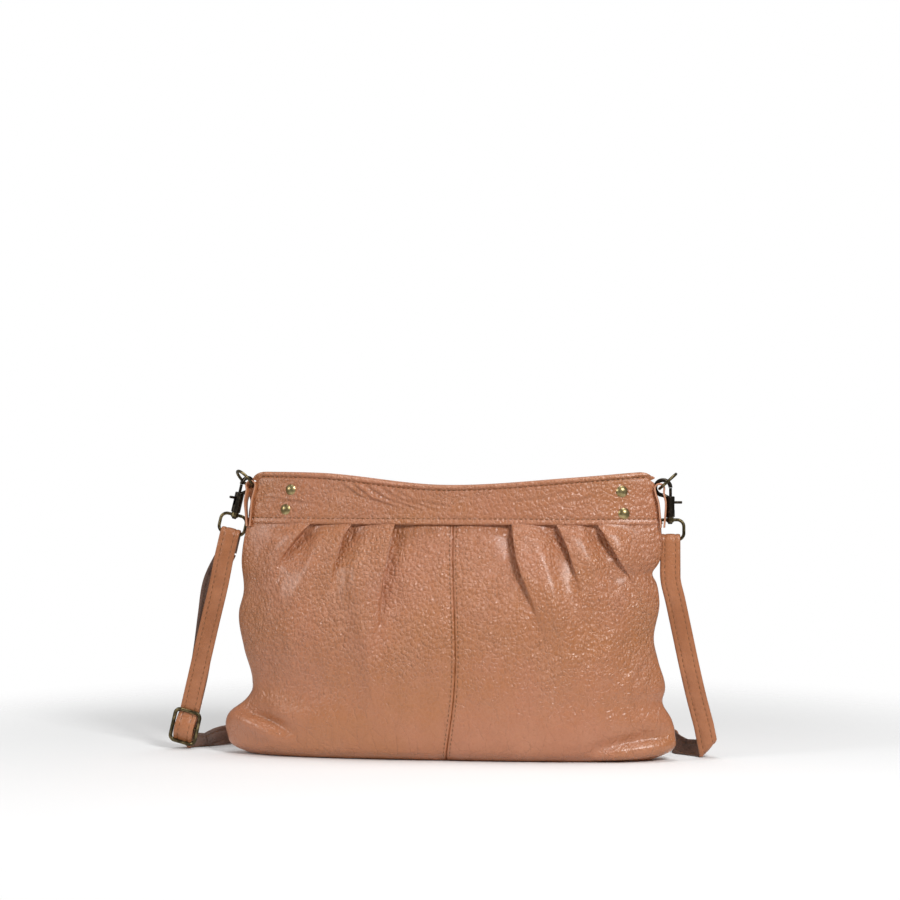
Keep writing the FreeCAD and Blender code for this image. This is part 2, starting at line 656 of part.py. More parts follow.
def left_strap():
    """The fold on the left eye, the running strap down through the slider, and the fixed end behind it."""
    side = LEFT
    save("strap_left_fold", placed(strap_fold(LEFT_FOLD_LEG), side.hanger_frame(-EYE_HEIGHT / 2)))
    across, back, up = left_frame()
    leg = FOLD_RADIUS + STRAP_THICKNESS / 2
    front_start = bar_point(side, -leg).sub(side.up * LEFT_FOLD_LEG)
    line = SLIDER_CENTRE.add(back * STRAP_BEHIND)
    straight_top, straight_low = [line.add(up * height) for height in LEFT_STRAIGHT]
    table = line.sub(up * (line.z / up.z))
    middle = (front_start.add(straight_top) * 0.5).add(LEFT_BOW)
    wires = [strip_section(front_start, side.across, V(0, 1, 0)),
             strip_section(middle, side.across.add(across).normalize(), V(0, 1, 0).add(back).normalize()),
             strip_section(straight_top, across, back),
             strip_section(straight_low, across, back),
             level_section(table, across, back)]
    save("strap_left_outer", Part.makeLoft(wires, True, True))
    behind = STRAP_THICKNESS + FIXED_END_GAP
    back_start = bar_point(side, leg).sub(side.up * LEFT_FOLD_LEG)
    wires = [strip_section(back_start, side.across, V(0, 1, 0))]
    for height, left, gap in FIXED_END:
        centre = line.add(up * height).add(back * (behind + gap)).sub(across * left)
        wires.append(strip_section(centre, across, back))
    save("strap_left_inner", Part.makeLoft(wires, True, True))


def floor_run():
    """The strap standing on edge on the table, round behind the bag."""
    centre = Part.BSplineCurve()
    centre.interpolate([V(x, y, 0) for x, y in FLOOR_RUN])
    first, last = centre.FirstParameter, centre.LastParameter
    sides = ([], [])
    for i in range(FLOOR_STEPS + 1):
        at = first + (last - first) * i / FLOOR_STEPS
        travel = centre.tangent(at)[0]
        normal = V(-travel.y, travel.x, 0).normalize() * (STRAP_THICKNESS / 2)
        sides[0].append(centre.value(at).add(normal))
        sides[1].append(centre.value(at).sub(normal))
    curves = []
    for points in sides:
        curve = Part.BSplineCurve()
        curve.interpolate(points)
        curves.append(curve)
    ends = [Part.makeLine(curves[0].StartPoint, curves[1].StartPoint),
            Part.makeLine(curves[0].EndPoint, curves[1].EndPoint)]
    outline = Part.Wire(Part.__sortEdges__([c.toShape() for c in curves] + ends))
    run = Part.Face(outline).extrude(V(0, 0, STRAP_WIDTH))
    save("strap_floor_run", run)


def strap_slider():
    """The slider's frame and bar, and the bit of strap that bulges over the bar."""
    across, back, up = left_frame()
    frame = frame_matrix(SLIDER_CENTRE, across, back, up)
    loop = rounded_frame(SLIDER_WIDTH, SLIDER_HEIGHT, SLIDER_CORNER, SLIDER_WIRE)
    reach = SLIDER_WIDTH / 2
    bar = rod(V(-reach, 0, 0), V(reach, 0, 0), SLIDER_BAR).cut(loop)
    inner = SLIDER_BAR + SLIDER_GAP
    outer = inner + STRAP_THICKNESS
    half = STRAP_WIDTH / 2
    foot = STRAP_BEHIND - STRAP_THICKNESS / 2 - SLIDER_GAP
    arch = rod(V(-half, 0, 0), V(half, 0, 0), outer).common(box((-half, half), (-outer, 0), (-outer, outer)))
    arch = arch.fuse(box((-half, half), (0, foot), (-outer, outer))).removeSplitter()
    arch = arch.cut(rod(V(-half - 1, 0, 0), V(half + 1, 0, 0), inner))
    arch = arch.cut(box((-half - 1, half + 1), (0, foot + 1), (-inner, inner)))
    save("strap_slider", placed(loop, frame))
    save("strap_slider_bar", placed(bar, frame))
    save("strap_wrap", placed(arch, frame))


leather_body()
top_band()
lining()
zip_fastener()
side_hardware()
right_strap()
left_strap()
floor_run()
strap_slider()
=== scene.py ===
"""The looks of a soft pleated leather crossbody bag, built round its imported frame.

Lengths in the named values below are millimetres in the frame's own axes: +X to the right as seen from the
front, +Y to the back, +Z up. They become metres where a mesh is made.
"""
import bpy
import math
import numpy as np
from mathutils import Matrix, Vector, noise


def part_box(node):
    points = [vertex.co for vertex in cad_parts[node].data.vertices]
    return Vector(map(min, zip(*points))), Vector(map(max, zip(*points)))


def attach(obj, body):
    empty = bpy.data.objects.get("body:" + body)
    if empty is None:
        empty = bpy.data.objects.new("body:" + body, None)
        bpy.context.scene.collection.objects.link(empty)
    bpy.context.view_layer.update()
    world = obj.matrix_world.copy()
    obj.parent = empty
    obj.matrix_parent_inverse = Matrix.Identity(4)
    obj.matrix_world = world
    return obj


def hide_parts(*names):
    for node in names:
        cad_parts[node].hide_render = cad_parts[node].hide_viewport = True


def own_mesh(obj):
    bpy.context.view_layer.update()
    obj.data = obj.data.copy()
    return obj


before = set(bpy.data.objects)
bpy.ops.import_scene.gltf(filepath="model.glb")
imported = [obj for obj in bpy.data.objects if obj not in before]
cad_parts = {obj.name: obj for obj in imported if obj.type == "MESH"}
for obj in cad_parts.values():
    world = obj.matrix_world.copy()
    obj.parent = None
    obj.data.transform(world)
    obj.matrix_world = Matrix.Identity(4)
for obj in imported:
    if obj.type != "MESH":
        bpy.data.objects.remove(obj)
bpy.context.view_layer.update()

MM = 0.001
Z_AXIS = np.array([0.0, 0.0, 1.0])


def node_box(name):
    """A CAD node's lowest and highest corners, in millimetres."""
    low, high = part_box(name)
    return np.array(low) / MM, np.array(high) / MM


BAND_BOTTOM = round(node_box("top_band_front")[0][2], 1)
PLEAT_TOP = BAND_BOTTOM
SHELL_TOP = BAND_BOTTOM + 2.5

# Side edges of the bag: height, x
EDGE_LEFT = [
    (0, -155), (4, -165.6), (15, -173.2), (22, -174.4), (31, -171.0), (40, -159.4), (48, -153.8),
    (55, -153.6), (79, -160.0), (108, -163.9), (121, -160.6), (147, -162.0), (165, -159.6), (177, -156.4),
]
EDGE_RIGHT = [
    (0, 148), (6, 161.5), (19, 165.4), (30, 162.8), (43, 156.0), (52, 158.0), (73, 153.0), (87, 149.8),
    (118, 153.8), (131, 151.6), (138, 148.6), (145, 153.0), (177, 155.2),
]
# Half depth of the bag and the two powers of its plan outline: height, value
DEPTH = [(0, 22), (5, 29.5), (12, 33), (22, 35), (40, 36.3), (60, 37.2), (85, 36.6), (115, 32.5), (145, 25.0),
         (162, 18.6), (174, 14.2), (177, 13.6)]
POWER = [(0, 3.0), (85, 3.0), (145, 3.5), (177, 4.0)]
ROOT = [(0, 0.62), (60, 0.65), (115, 0.72), (145, 0.82), (177, 1.0)]

# Pleats: the line that each follows as (height, x), then its fold's end, height, overlap and width
PLEATS_LEFT = [
    ([(0, -118), (110, -136), (145, -129.2), (161, -118.0), (174, -107.2)], 120, 6.0, 3.4, 2.8),
    ([(0, -84), (117, -88.6), (150, -85.2), (162, -82.2), (174, -75.7)], 106, 5.4, 3.6, 2.6),
    ([(0, -56), (79, -54.0), (117, -50.6), (151, -46.9), (174, -43.1)], 52, 6.2, 3.6, 3.0),
]
PLEATS_RIGHT = [
    ([(0, 60), (94, 70.0), (124, 58.9), (147, 51.4), (174, 46.9)], 68, 6.4, 4.0, 2.5),
    ([(0, 92), (120, 96.0), (138, 92.6), (158, 87.4), (174, 79.9)], 104, 6.0, 4.0, 2.5),
    ([(0, 124), (112, 144.0), (132, 133.9), (154, 121.2), (174, 109.9)], 92, 6.6, 4.0, 2.5),
]
SEAM_LINE = [(0, -2.6), (46, 4.1), (174, 1.5), (177, 1.5)]
SEAM_STITCH_OFFSET = 2.3
LEATHER = 1.7
BASE_LIFT = 0.35
LINING_CLOTH = 0.7
LINING_INSET = 8.0
LINING_SIDE_INSET = 6.5
COLUMNS = 30
MIDDLE = 4 * COLUMNS
PLEAT_REACH = 15

# Valleys pressed into the front: points (x, z), depth, spread above and below, and the swelling below
VALLEYS = [
    ([(-168, 38.5), (-150, 32.0), (-132, 24.5), (-108, 15.0)], 7.5, 8.0, 3.0, 2.2),
    ([(176, 20.0), (150, 17.0), (120, 11.5), (84, 2.0)], 5.6, 8.0, 2.8, 2.4),
]
# Waves of the leather: height, size, and stretch along x, y and z
FRONT_WAVES = [(1.5, 46, (1, 1, 1)), (0.9, 20, (0.8, 1, 1.9))]
FINE_WAVE = (0.34, 8, (0.7, 1, 1.8))
VALLEY_WAVE = (0.55, 5.5, (0.7, 1, 1.5))
CORNER_WAVE = (0.6, 6.5, (1.6, 1, 0.7))
BACK_WAVES = [(1.6, 48, (1, 1, 1)), (0.8, 19, (0.8, 1, 1.8)), (0.3, 8, (0.7, 1, 1.8))]
# The crumpled lower corners, and the patch of slanting stretch lines: middle x and z, half width and height
CORNERS = [(-142, 26, 26, 12), (138, 12, 34, 9)]
STRETCH_PATCH = (132, 62, 22, 16)
STRETCH_HEIGHT = 0.5
GATHERS = (0.9, 6.2)
# Long soft ridges on the front: points (x, z), height and width
RIDGES = [
    ([(-66, 128), (-62, 96), (-56, 44)], 2.6, 7.5),
    ([(-118, 130), (-121, 100), (-118, 62)], 2.0, 12.0),
    ([(78, 118), (86, 96), (90, 66)], 1.8, 7.0),
    ([(118, 116), (122, 96), (116, 70)], 1.8, 8.0),
    ([(-96, 170), (-104, 146), (-112, 118)], 2.2, 7.0),
    ([(-64, 168), (-72, 140), (-74, 116)], 2.2, 7.0),
    ([(62, 170), (72, 142), (80, 112)], 2.0, 7.0),
    ([(96, 170), (106, 146), (112, 122)], 2.0, 6.0),
]


# ---- small tools

def smooth(points, at):
    """A smooth curve through (position, value) points, read at the given positions."""
    xs = np.array([p[0] for p in points], float)
    ys = np.array([p[1] for p in points], float)
    slopes = np.gradient(ys, xs)
    i = np.clip(np.searchsorted(xs, at) - 1, 0, len(xs) - 2)
    h = xs[i + 1] - xs[i]
    t = np.clip((at - xs[i]) / h, 0, 1)
    a = (1 + 2 * t) * (1 - t) ** 2 * ys[i] + t * (1 - t) ** 2 * h * slopes[i]
    return a + t ** 2 * (3 - 2 * t) * ys[i + 1] + t ** 2 * (t - 1) * h * slopes[i + 1]


def ease(value, low, high):
    """0 below low, 1 above high and smooth between."""
    t = np.clip((value - low) / (high - low), 0, 1)
    return t * t * (3 - 2 * t)


def bump_noise(points, size, seed, stretch=(1, 1, 1)):
    """Smooth noise of about that size, from -1 to 1, at an array of points."""
    flat = points.reshape(-1, 3) / (np.array(stretch) * size) + seed * 17.31
    values = [noise.noise(Vector(p)) for p in flat]
    return np.array(values).reshape(points.shape[:-1])


def unit(v):
    """The vectors at unit length."""
    v = np.asarray(v, float)
    return v / np.maximum(np.linalg.norm(v, axis=-1, keepdims=True), 1e-12)


def grid_normals(p, flip=False):
    """Unit normals of a grid of points."""
    n = unit(np.cross(np.gradient(p, axis=1), np.gradient(p, axis=0)))
    return -n if flip else n


def to_line(x, z, line):
    """Signed distance above a polyline, and how far along it, from 0 to 1 (outside that past its ends)."""
    pts = np.array(line, float)
    lengths = np.linalg.norm(np.diff(pts, axis=0), axis=1)
    starts = np.concatenate([[0], np.cumsum(lengths)])
    best = np.full(x.shape, 1e9)
    along = np.zeros(x.shape)
    for i, (a, b) in enumerate(zip(pts, pts[1:])):
        d = (b - a) / lengths[i]
        t = (x - a[0]) * d[0] + (z - a[1]) * d[1]
        low = -1e9 if i == 0 else 0
        high = 1e9 if i == len(lengths) - 1 else lengths[i]
        t_in = np.clip(t, low, high)
        off_x = x - a[0] - t_in * d[0]
        off_z = z - a[1] - t_in * d[1]
        gap = np.hypot(off_x, off_z)
        sign = np.where(off_z * abs(d[0]) - off_x * d[1] * np.sign(d[0] or 1) >= 0, 1, -1)
        near = gap < np.abs(best)
        best = np.where(near, sign * gap, best)
        along = np.where(near, (starts[i] + t_in) / starts[-1], along)
    return best, along


def add_object(name, data):
    """A new object in the scene."""
    obj = bpy.data.objects.new(name, data)
    bpy.context.collection.objects.link(obj)
    return obj


def mesh_object(name, vertices, faces, material_list, indices=None):
    """A smooth-shaded mesh object in the frame, from millimetres."""
    mesh = bpy.data.meshes.new(name)
    mesh.from_pydata([tuple(v) for v in np.asarray(vertices) * MM], [], faces)
    mesh.validate()
    for m in material_list:
        mesh.materials.append(m)
    if indices is not None:
        mesh.polygons.foreach_set("material_index", indices)
    mesh.polygons.foreach_set("use_smooth", [True] * len(mesh.polygons))
    mesh.update()
    return add_object(name, mesh)


def grid_faces(rows, columns, offset=0, wrap=False):
    """Quads of a grid of vertices, closed across the columns if wrap."""
    r = np.arange(rows - 1)[:, None]
    c = np.arange(columns if wrap else columns - 1)[None, :]
    d = (c + 1) % columns
    quad = [r * columns + c, r * columns + d, (r + 1) * columns + d, (r + 1) * columns + c]
    return (np.stack([np.broadcast_to(q, (r.shape[0], c.shape[1])) for q in quad], -1).reshape(-1, 4)
            + offset).tolist()


def tube_faces(rows, columns):
    """Faces of a closed tube of sections, with its two ends."""
    start = list(range(columns))
    end = [c + (rows - 1) * columns for c in reversed(start)]
    return grid_faces(rows, columns, wrap=True) + [start, end]


def place_along(points):
    """How far along a line of points each one is."""
    gaps = np.linalg.norm(np.diff(points, axis=0), axis=1)
    return np.concatenate([[0], np.cumsum(gaps)])


def sheet_object(name, p, mat, thickness, flip=False):
    """A grid of points as a skin with thickness on its inner side."""
    faces = grid_faces(p.shape[0], p.shape[1])
    if flip:
        faces = [f[::-1] for f in faces]
    obj = mesh_object(name, p.reshape(-1, 3), faces, [mat])
    solid = obj.modifiers.new("thickness", "SOLIDIFY")
    solid.thickness = thickness * MM
    solid.offset = -1
    return obj


# ---- materials

class Nodes:
    """A short way to build a node tree: add(type, {input: value or socket}, property=value)."""

    def __init__(self, name):
        self.material = bpy.data.materials.new(name)
        self.material.use_nodes = True
        self.tree = self.material.node_tree
        self.tree.nodes.clear()

    def add(self, kind, inputs=None, **props):
        node = self.tree.nodes.new("ShaderNode" + kind)
        for key, value in props.items():
            setattr(node, key, value)
        for key, value in (inputs or {}).items():
            if isinstance(value, bpy.types.NodeSocket):
                self.tree.links.new(value, node.inputs[key])
            else:
                node.inputs[key].default_value = value
        return node

    def math(self, operation, a, b=0.0, clamp=False):
        return self.add("Math", {0: a, 1: b}, operation=operation, use_clamp=clamp).outputs[0]

    def remap(self, value, low, high, to_low=0.0, to_high=1.0):
        ins = {"Value": value, "From Min": low, "From Max": high, "To Min": to_low, "To Max": to_high}
        return self.add("MapRange", ins, interpolation_type="SMOOTHSTEP").outputs[0]

    def mix(self, share, a, b):
        return self.add("Mix", {0: share, 6: a, 7: b}, data_type="RGBA").outputs[2]

    def coords(self, stretch=(1, 1, 1), warp=0.0, warp_scale=40.0):
        point = self.add("TexCoord").outputs["Object"]
        if warp:
            wave = self.add("TexNoise", {"Vector": point, "Scale": warp_scale, "Detail": 2.0})
            wave = wave.outputs["Color"]
            push = self.add("VectorMath", {0: wave, 1: (-0.5, -0.5, -0.5)}, operation="ADD").outputs[0]
            push = self.add("VectorMath", {0: push, 3: warp}, operation="SCALE").outputs[0]
            point = self.add("VectorMath", {0: point, 1: push}, operation="ADD").outputs[0]
        return self.add("Mapping", {"Vector": point, "Scale": stretch}).outputs[0]

    def noise(self, point, scale, detail=3.0, rough=0.55):
        return self.add("TexNoise", {"Vector": point, "Scale": scale, "Detail": detail,
                                     "Roughness": rough}).outputs["Fac"]

    def cells(self, point, scale, feature="DISTANCE_TO_EDGE"):
        return self.add("TexVoronoi", {"Vector": point, "Scale": scale}, feature=feature).outputs["Distance"]

    def bands(self, point, scale, distortion, detail=2.0):
        ins = {"Vector": point, "Scale": scale, "Distortion": distortion, "Detail": detail}
        return self.add("TexWave", ins, bands_direction="DIAGONAL").outputs["Fac"]

    def finish(self, colour, roughness, height, bump_mm, **fixed):
        """The shader: colour and roughness may be sockets, and everything in fixed is set on it directly."""
        shader = self.add("BsdfPrincipled", {"Base Color": colour, "Roughness": roughness})
        for key, value in fixed.items():
            shader.inputs[key.replace("_", " ")].default_value = value
        bump = self.add("Bump", {"Height": height, "Distance": bump_mm * MM, "Strength": 1.0})
        self.tree.links.new(bump.outputs[0], shader.inputs["Normal"])
        return self.output(shader)

    def output(self, shader):
        """The finished material."""
        out = self.add("OutputMaterial")
        self.tree.links.new(shader.outputs[0], out.inputs[0])
        return self.material


def rgb(r, g, b):
    """A colour from its sRGB values, 11 to 255."""
    return tuple(((c / 255 + 0.055) / 1.055) ** 2.4 for c in (r, g, b)) + (1.0,)


def pebbled_leather(name="pebbled_leather", smooth_below=0.085, grain=1.0):
    """Tan full-grain leather: pebbles parted by creases, flatter towards the base, with soft blotches; the
    crease lines are painted lighter as a painted highlight, weaker towards the base.
    """
    n = Nodes(name)
    warped = n.coords((1.0, 1.0, 0.8), warp=0.0016, warp_scale=150)
    plain = n.coords()
    pebbles = n.remap(n.cells(warped, 360), 0.0, 0.16)
    domes = n.remap(n.cells(warped, 360, "F1"), 0.0, 0.75, 1.0, 0.0)
    fine = n.coords(warp=0.0012, warp_scale=260)
    small = n.remap(n.cells(fine, 760, "F1"), 0.0, 0.75, 1.0, 0.0)
    tall = n.coords((1.0, 1.0, 0.5), warp=0.009, warp_scale=60)
    creases = n.remap(n.cells(tall, 105), 0.0, 0.07)
    pores = n.noise(plain, 2600, 2.0)
    patches = n.noise(plain, 24, 3.0)
    up = n.add("SeparateXYZ", {0: n.add("TexCoord").outputs["Object"]}).outputs[2]
    upper = n.remap(up, 0.012, smooth_below, 0.30, 1.0)
    share = n.math("MULTIPLY", upper, n.remap(patches, 0.3, 0.7, 0.65, 1.15))
    height = n.math("ADD", n.math("MULTIPLY", domes, 0.85), n.math("MULTIPLY", pebbles, 0.30))
    height = n.math("ADD", height, n.math("MULTIPLY", small, 0.22))
    height = n.math("MULTIPLY", height, share)
    height = n.math("ADD", height, n.math("MULTIPLY", creases, 0.30))
    height = n.math("ADD", height, n.math("MULTIPLY", pores, 0.06))
    blotch = n.remap(n.noise(plain, 15, 4.0), 0.32, 0.68)
    tone = n.mix(blotch, LEATHER_WARM, LEATHER_ROSE)
    tone = n.mix(n.math("MULTIPLY", n.remap(patches, 0.52, 0.78), 0.35), tone, LEATHER_PALE)
    # Painted highlight: the creases between the pebbles are painted lighter, as if their edges caught the
    # light, weaker towards the base and where the grain is weaker.
    crease_highlight = n.math("MULTIPLY", n.math("SUBTRACT", 1.0, pebbles), n.math("MULTIPLY", share, 0.22))
    tone = n.mix(crease_highlight, tone, LEATHER_CREASE_HIGHLIGHT)
    rough = n.remap(n.noise(plain, 60, 3.0), 0.3, 0.7, 0.30, 0.40)
    return n.finish(tone, rough, height, bump_mm=0.75 * grain, Specular_IOR_Level=0.7, Coat_Weight=0.25,
                    Coat_Roughness=0.24)


def strap_leather(name, light, dark, roughness, grain_mm):
    """Strap leather: finer grain, with long faint scuffs."""
    n = Nodes(name)
    fine = n.coords((1.0, 1.0, 0.8), warp=0.002, warp_scale=160)
    grain = n.remap(n.cells(fine, 520), 0.0, 0.4)
    wrinkles = n.noise(n.coords((1.0, 1.0, 3.0)), 210, 4.0)
    height = n.math("ADD", n.math("MULTIPLY", grain, 0.5), n.math("MULTIPLY", wrinkles, 0.8))
    tone = n.mix(n.remap(n.noise(n.coords(), 45, 4.0), 0.3, 0.7), dark, light)
    return n.finish(tone, roughness, height, bump_mm=grain_mm, Specular_IOR_Level=0.5, Coat_Weight=0.08,
                    Coat_Roughness=0.35)


def antique_metal(name, dark, bright, wear_low, wear_high, roughness):
    """Aged plated metal: dark patina, rubbed bright in patches, with fine scratches."""
    n = Nodes(name)
    point = n.coords()
    rub = n.remap(n.noise(point, 230, 5.0, 0.6), wear_low, wear_high)
    scratch = n.noise(n.coords((1, 1, 9), warp=0.002), 900, 2.0)
    tone = n.mix(rub, dark, bright)
    rough = n.remap(scratch, 0.3, 0.7, roughness - 0.07, roughness + 0.1)
    return n.finish(tone, rough, scratch, bump_mm=0.03, Metallic=1.0)


def woven(name, light, dark, threads, bump_mm):
    """Woven cloth: a diagonal twill, painted darker in the low parts of its weave as painted shade."""
    n = Nodes(name)
    warp = n.bands(n.coords(), threads, 0.6, 1.0)
    weft = n.bands(n.coords((-1, 1, 1)), threads * 1.4, 0.4)
    height = n.math("ADD", warp, n.math("MULTIPLY", weft, 0.5))
    # Painted shade: the colour follows the weave's height, darker in its hollows.
    tone = n.mix(n.math("MULTIPLY", height, 0.6, clamp=True), dark, light)
    return n.finish(tone, 0.85, height, bump_mm=bump_mm, Sheen_Weight=0.2)


def thread(name, light, dark):
    """Sewing thread with a twist, painted darker in the grooves of the twist as painted shade."""
    n = Nodes(name)
    twist = n.bands(n.coords(), 900.0, 1.0)
    # Painted shade: the colour follows the twist's height, darker in its grooves.
    return n.finish(n.mix(twist, dark, light), 0.6, twist, bump_mm=0.08)


LEATHER_WARM = rgb(171, 108, 64)
LEATHER_ROSE = rgb(176, 112, 77)
LEATHER_PALE = rgb(190, 130, 98)
# Painted highlight colour for the lit crease lines of the pebbled leather.
LEATHER_CREASE_HIGHLIGHT = rgb(204, 150, 120)

leather = pebbled_leather()
band_leather = pebbled_leather("band_leather", smooth_below=0.03, grain=0.8)
strap_grain = strap_leather("strap_grain", rgb(178, 115, 76), rgb(160, 99, 60), 0.38, 0.28)
strap_inner = strap_leather("strap_inner", rgb(118, 84, 68), rgb(88, 62, 50), 0.6, 0.45)
cut_edge = strap_leather("cut_edge", rgb(200, 146, 116), rgb(176, 120, 92), 0.65, 0.12)
lining_cloth = woven("lining_cloth", rgb(124, 96, 72), rgb(82, 62, 48), 420.0, 0.15)
tape_cloth = woven("tape_cloth", rgb(112, 78, 54), rgb(74, 50, 36), 800.0, 0.12)
brass = antique_metal("antique_brass", rgb(74, 66, 48), rgb(150, 134, 96), 0.42, 0.7, 0.32)
bronze = antique_metal("dark_bronze", rgb(58, 52, 45), rgb(112, 102, 82), 0.5, 0.78, 0.3)
rivet_brass = antique_metal("rivet_brass", rgb(140, 124, 84), rgb(182, 166, 122), 0.35, 0.65, 0.32)
zip_brass = antique_metal("zip_brass", rgb(110, 94, 56), rgb(178, 158, 108), 0.35, 0.65, 0.34)
steel = antique_metal("spring_steel", rgb(120, 120, 122), rgb(180, 180, 182), 0.4, 0.6, 0.3)
brown_thread = thread("brown_thread", rgb(134, 92, 52), rgb(98, 62, 32))


# ---- bag body

def column_places():
    """Places across the front, counted in stretches between pleat lines, closer together at each line."""
    t = np.linspace(0, 1, COLUMNS + 1)[:-1]
    t = t - 0.72 * np.sin(2 * np.pi * t) / (2 * np.pi)
    places = [k + t for k in range(8)]
    return np.concatenate(places + [[8.0]])


def row_heights():
    """Heights of the shell's rows, closer together at the base and under the band."""
    low = [0, 0.5, 1.3, 2.4, 3.8, 5.4, 7.2]
    middle = list(np.arange(9.0, 150.0, 1.7))
    top = list(np.arange(150.0, SHELL_TOP + 0.1, 1.05))
    return np.array(low + middle + top)


def base_shell():
    """The bag's plain outline as a grid of x, depth and share of the half width; rows go up."""
    z = row_heights()
    lines = [smooth(EDGE_LEFT, z)]
    lines += [smooth(p[0], z) for p in PLEATS_LEFT] + [smooth(SEAM_LINE, z)]
    lines += [smooth(p[0], z) for p in PLEATS_RIGHT] + [smooth(EDGE_RIGHT, z)]
    lines = np.array(lines).T
    places = column_places()
    k = np.minimum(places.astype(int), 7)
    t = places - k
    x = lines[:, k] * (1 - t) + lines[:, k + 1] * t
    centre = (lines[:, :1] + lines[:, -1:]) / 2
    half = (lines[:, -1:] - lines[:, :1]) / 2
    share = np.clip((x - centre) / half, -1, 1)
    zz = np.repeat(z[:, None], x.shape[1], 1)
    bow = (1 - np.abs(share) ** smooth(POWER, zz)) ** smooth(ROOT, zz)
    return x, smooth(DEPTH, zz) * bow, zz, share


def pleat_moves(x, z, pleats, side):
    """How far the pleats of one side push the leather out and sideways."""
    out = np.zeros_like(x)
    over = np.zeros_like(x)
    crumple = np.zeros_like(x)
    for line, end, height, overlap, width in pleats:
        d = (x - smooth(line, z)) * -side
        life = ease(z, end, PLEAT_TOP - 4)
        pinch = 0.45 + 0.55 * (1 - ease(z, PLEAT_TOP - 9, PLEAT_TOP + 1))
        w = width * (1 + 1.3 * (1 - life))
        fold = -np.tanh(1.3 * d / w) * np.exp(-(np.abs(d) / PLEAT_REACH) ** 1.4)
        out += height * pinch * life ** 1.1 * fold
        reach = ease(life, 0.12, 0.85)
        over += overlap * reach * -(d / w) * np.exp(0.5 * (1 - (d / w) ** 2)) * -side
        crumple += np.exp(-((d - 5) / 7) ** 2) * ease(z, end - 16, end + 18)
    return out, over, np.clip(crumple, 0, 1)


def valley_moves(x, z):
    """The pinched corner folds low on the front."""
    out = np.zeros_like(x)
    for line, depth, above, below, swell in VALLEYS:
        d, along = to_line(x, z, line)
        life = ease(1 - along, 0.0, 0.55) * ease(along, -0.15, 0.1)
        spread = np.where(d > 0, above, below)
        out -= depth * life * np.exp(-(d / spread) ** 2)
        out += swell * life * np.exp(-((d + 8.5) / 5.5) ** 2)
    return out


def ridge_moves(x, z):
    """The long soft ridges that run down from the pleats."""
    out = np.zeros_like(x)
    for line, height, width in RIDGES:
        d, along = to_line(x, z, line)
        out += height * np.exp(-(d / width) ** 2) * ease(along, -0.35, 0.25) * ease(1 - along, -0.35, 0.3)
    return out


def wave(points, facts, seed):
    """One wave of the leather, from its height, size and stretch."""
    height, size, stretch = facts
    return height * bump_noise(points, size, seed, stretch)


def spot(x, z, place):
    """1 at the middle of a soft oval spot, falling to 0 away from it."""
    middle_x, middle_z, half_width, half_height = place
    return np.exp(-((x - middle_x) / half_width) ** 2 - ((z - middle_z) / half_height) ** 2)


def fine_relief(points, x, z, low, crumple):
    """The front's small unevenness: fine waves, crumpled valleys and corners, and stretch lines."""
    relief = wave(points, FINE_WAVE, 3) * low + crumple * wave(points, VALLEY_WAVE, 4)
    relief += sum(spot(x, z, place) for place in CORNERS) * wave(points, CORNER_WAVE, 5)
    lines = np.sin((x * 0.62 - z * 0.5) / 1.5 + 2 * bump_noise(points, 20, 6))
    return relief + STRETCH_HEIGHT * spot(x, z, STRETCH_PATCH) * lines


def seam_relief(seam):
    """The centre seam's groove and the two raised turnings beside it, from the distance to the seam."""
    return 0.75 * np.exp(-(seam / 0.6) ** 2) - 0.3 * np.exp(-((np.abs(seam) - 1.5) / 0.7) ** 2)


def shell_front(x, z, plain, rim, low, under_band):
    """The pleated front as a grid of points, and its corner folds."""
    left = pleat_moves(x, z, PLEATS_LEFT, -1)
    right = pleat_moves(x, z, PLEATS_RIGHT, 1)
    crumple = np.clip(left[2] + right[2], 0, 1)
    folds = valley_moves(x, z)
    seam = x - smooth(SEAM_LINE, z)
    out = left[0] + right[0] + ridge_moves(x, z) * low
    for seed, facts in enumerate(FRONT_WAVES, start=1):
        out += wave(plain, facts, seed) * low * under_band
    out -= 0.9 * np.exp(-(seam / 6.0) ** 2)
    fine = fine_relief(plain, x, z, low, crumple) * (1 - np.exp(-(seam / 2.0) ** 2))
    total = (out + fine + folds * ease(z, 0, 4)) * rim - seam_relief(seam)
    front = plain + grid_normals(plain) * total[..., None]
    front[..., 0] += (left[1] + right[1]) * rim
    return front, folds * rim


def shell_back(x, z, plain, rim, low, under_band):
    """The back as a grid of points, gathered a little under the band."""
    out = sum(wave(plain, facts, seed) for seed, facts in enumerate(BACK_WAVES, start=7))
    height, spacing = GATHERS
    gathers = np.sin(x / spacing + 1.5 * bump_noise(plain, 40, 10)) * np.exp(-((PLEAT_TOP - z) / 26) ** 2)
    out = (out * under_band + height * gathers) * rim * low
    return plain + grid_normals(plain, True) * out[..., None]


def shell_grids():
    """Front and back of the bag as grids of points, and the plain inner shape that the lining follows."""
    x, depth, z, share = base_shell()
    plain_front = np.stack([x, -depth, z], -1)
    plain_back = np.stack([x, depth, z], -1)
    rim = 1 - np.abs(share) ** 14
    low = ease(z, 0, 9)
    under_band = 1 - ease(z, PLEAT_TOP - 26, PLEAT_TOP + 1) * 0.75
    front, folds = shell_front(x, z, plain_front, rim, low, under_band)
    back = shell_back(x, z, plain_back, rim, low, under_band)
    for p in (front, back):
        p[..., 2] = np.clip(p[..., 2], 0.0, None)
        p[0, :, 2] = 0.0
    return front, back, plain_front, plain_back, folds


def lining_shape(plain, folds):
    """The lining that follows one side of the plain outline, kept inside the leather at the side seams."""
    centre = (plain[:, :1, 0] + plain[:, -1:, 0]) / 2
    half = (plain[:, -1:, 0] - plain[:, :1, 0]) / 2
    lining = plain.copy()
    lining[..., 0] = centre + (plain[..., 0] - centre) * (1 - LINING_SIDE_INSET / half)
    depth = np.abs(plain[..., 1])
    lining[..., 1] = np.sign(plain[..., 1]) * np.maximum(depth - LINING_INSET + folds, 0.3 * depth)
    return lining


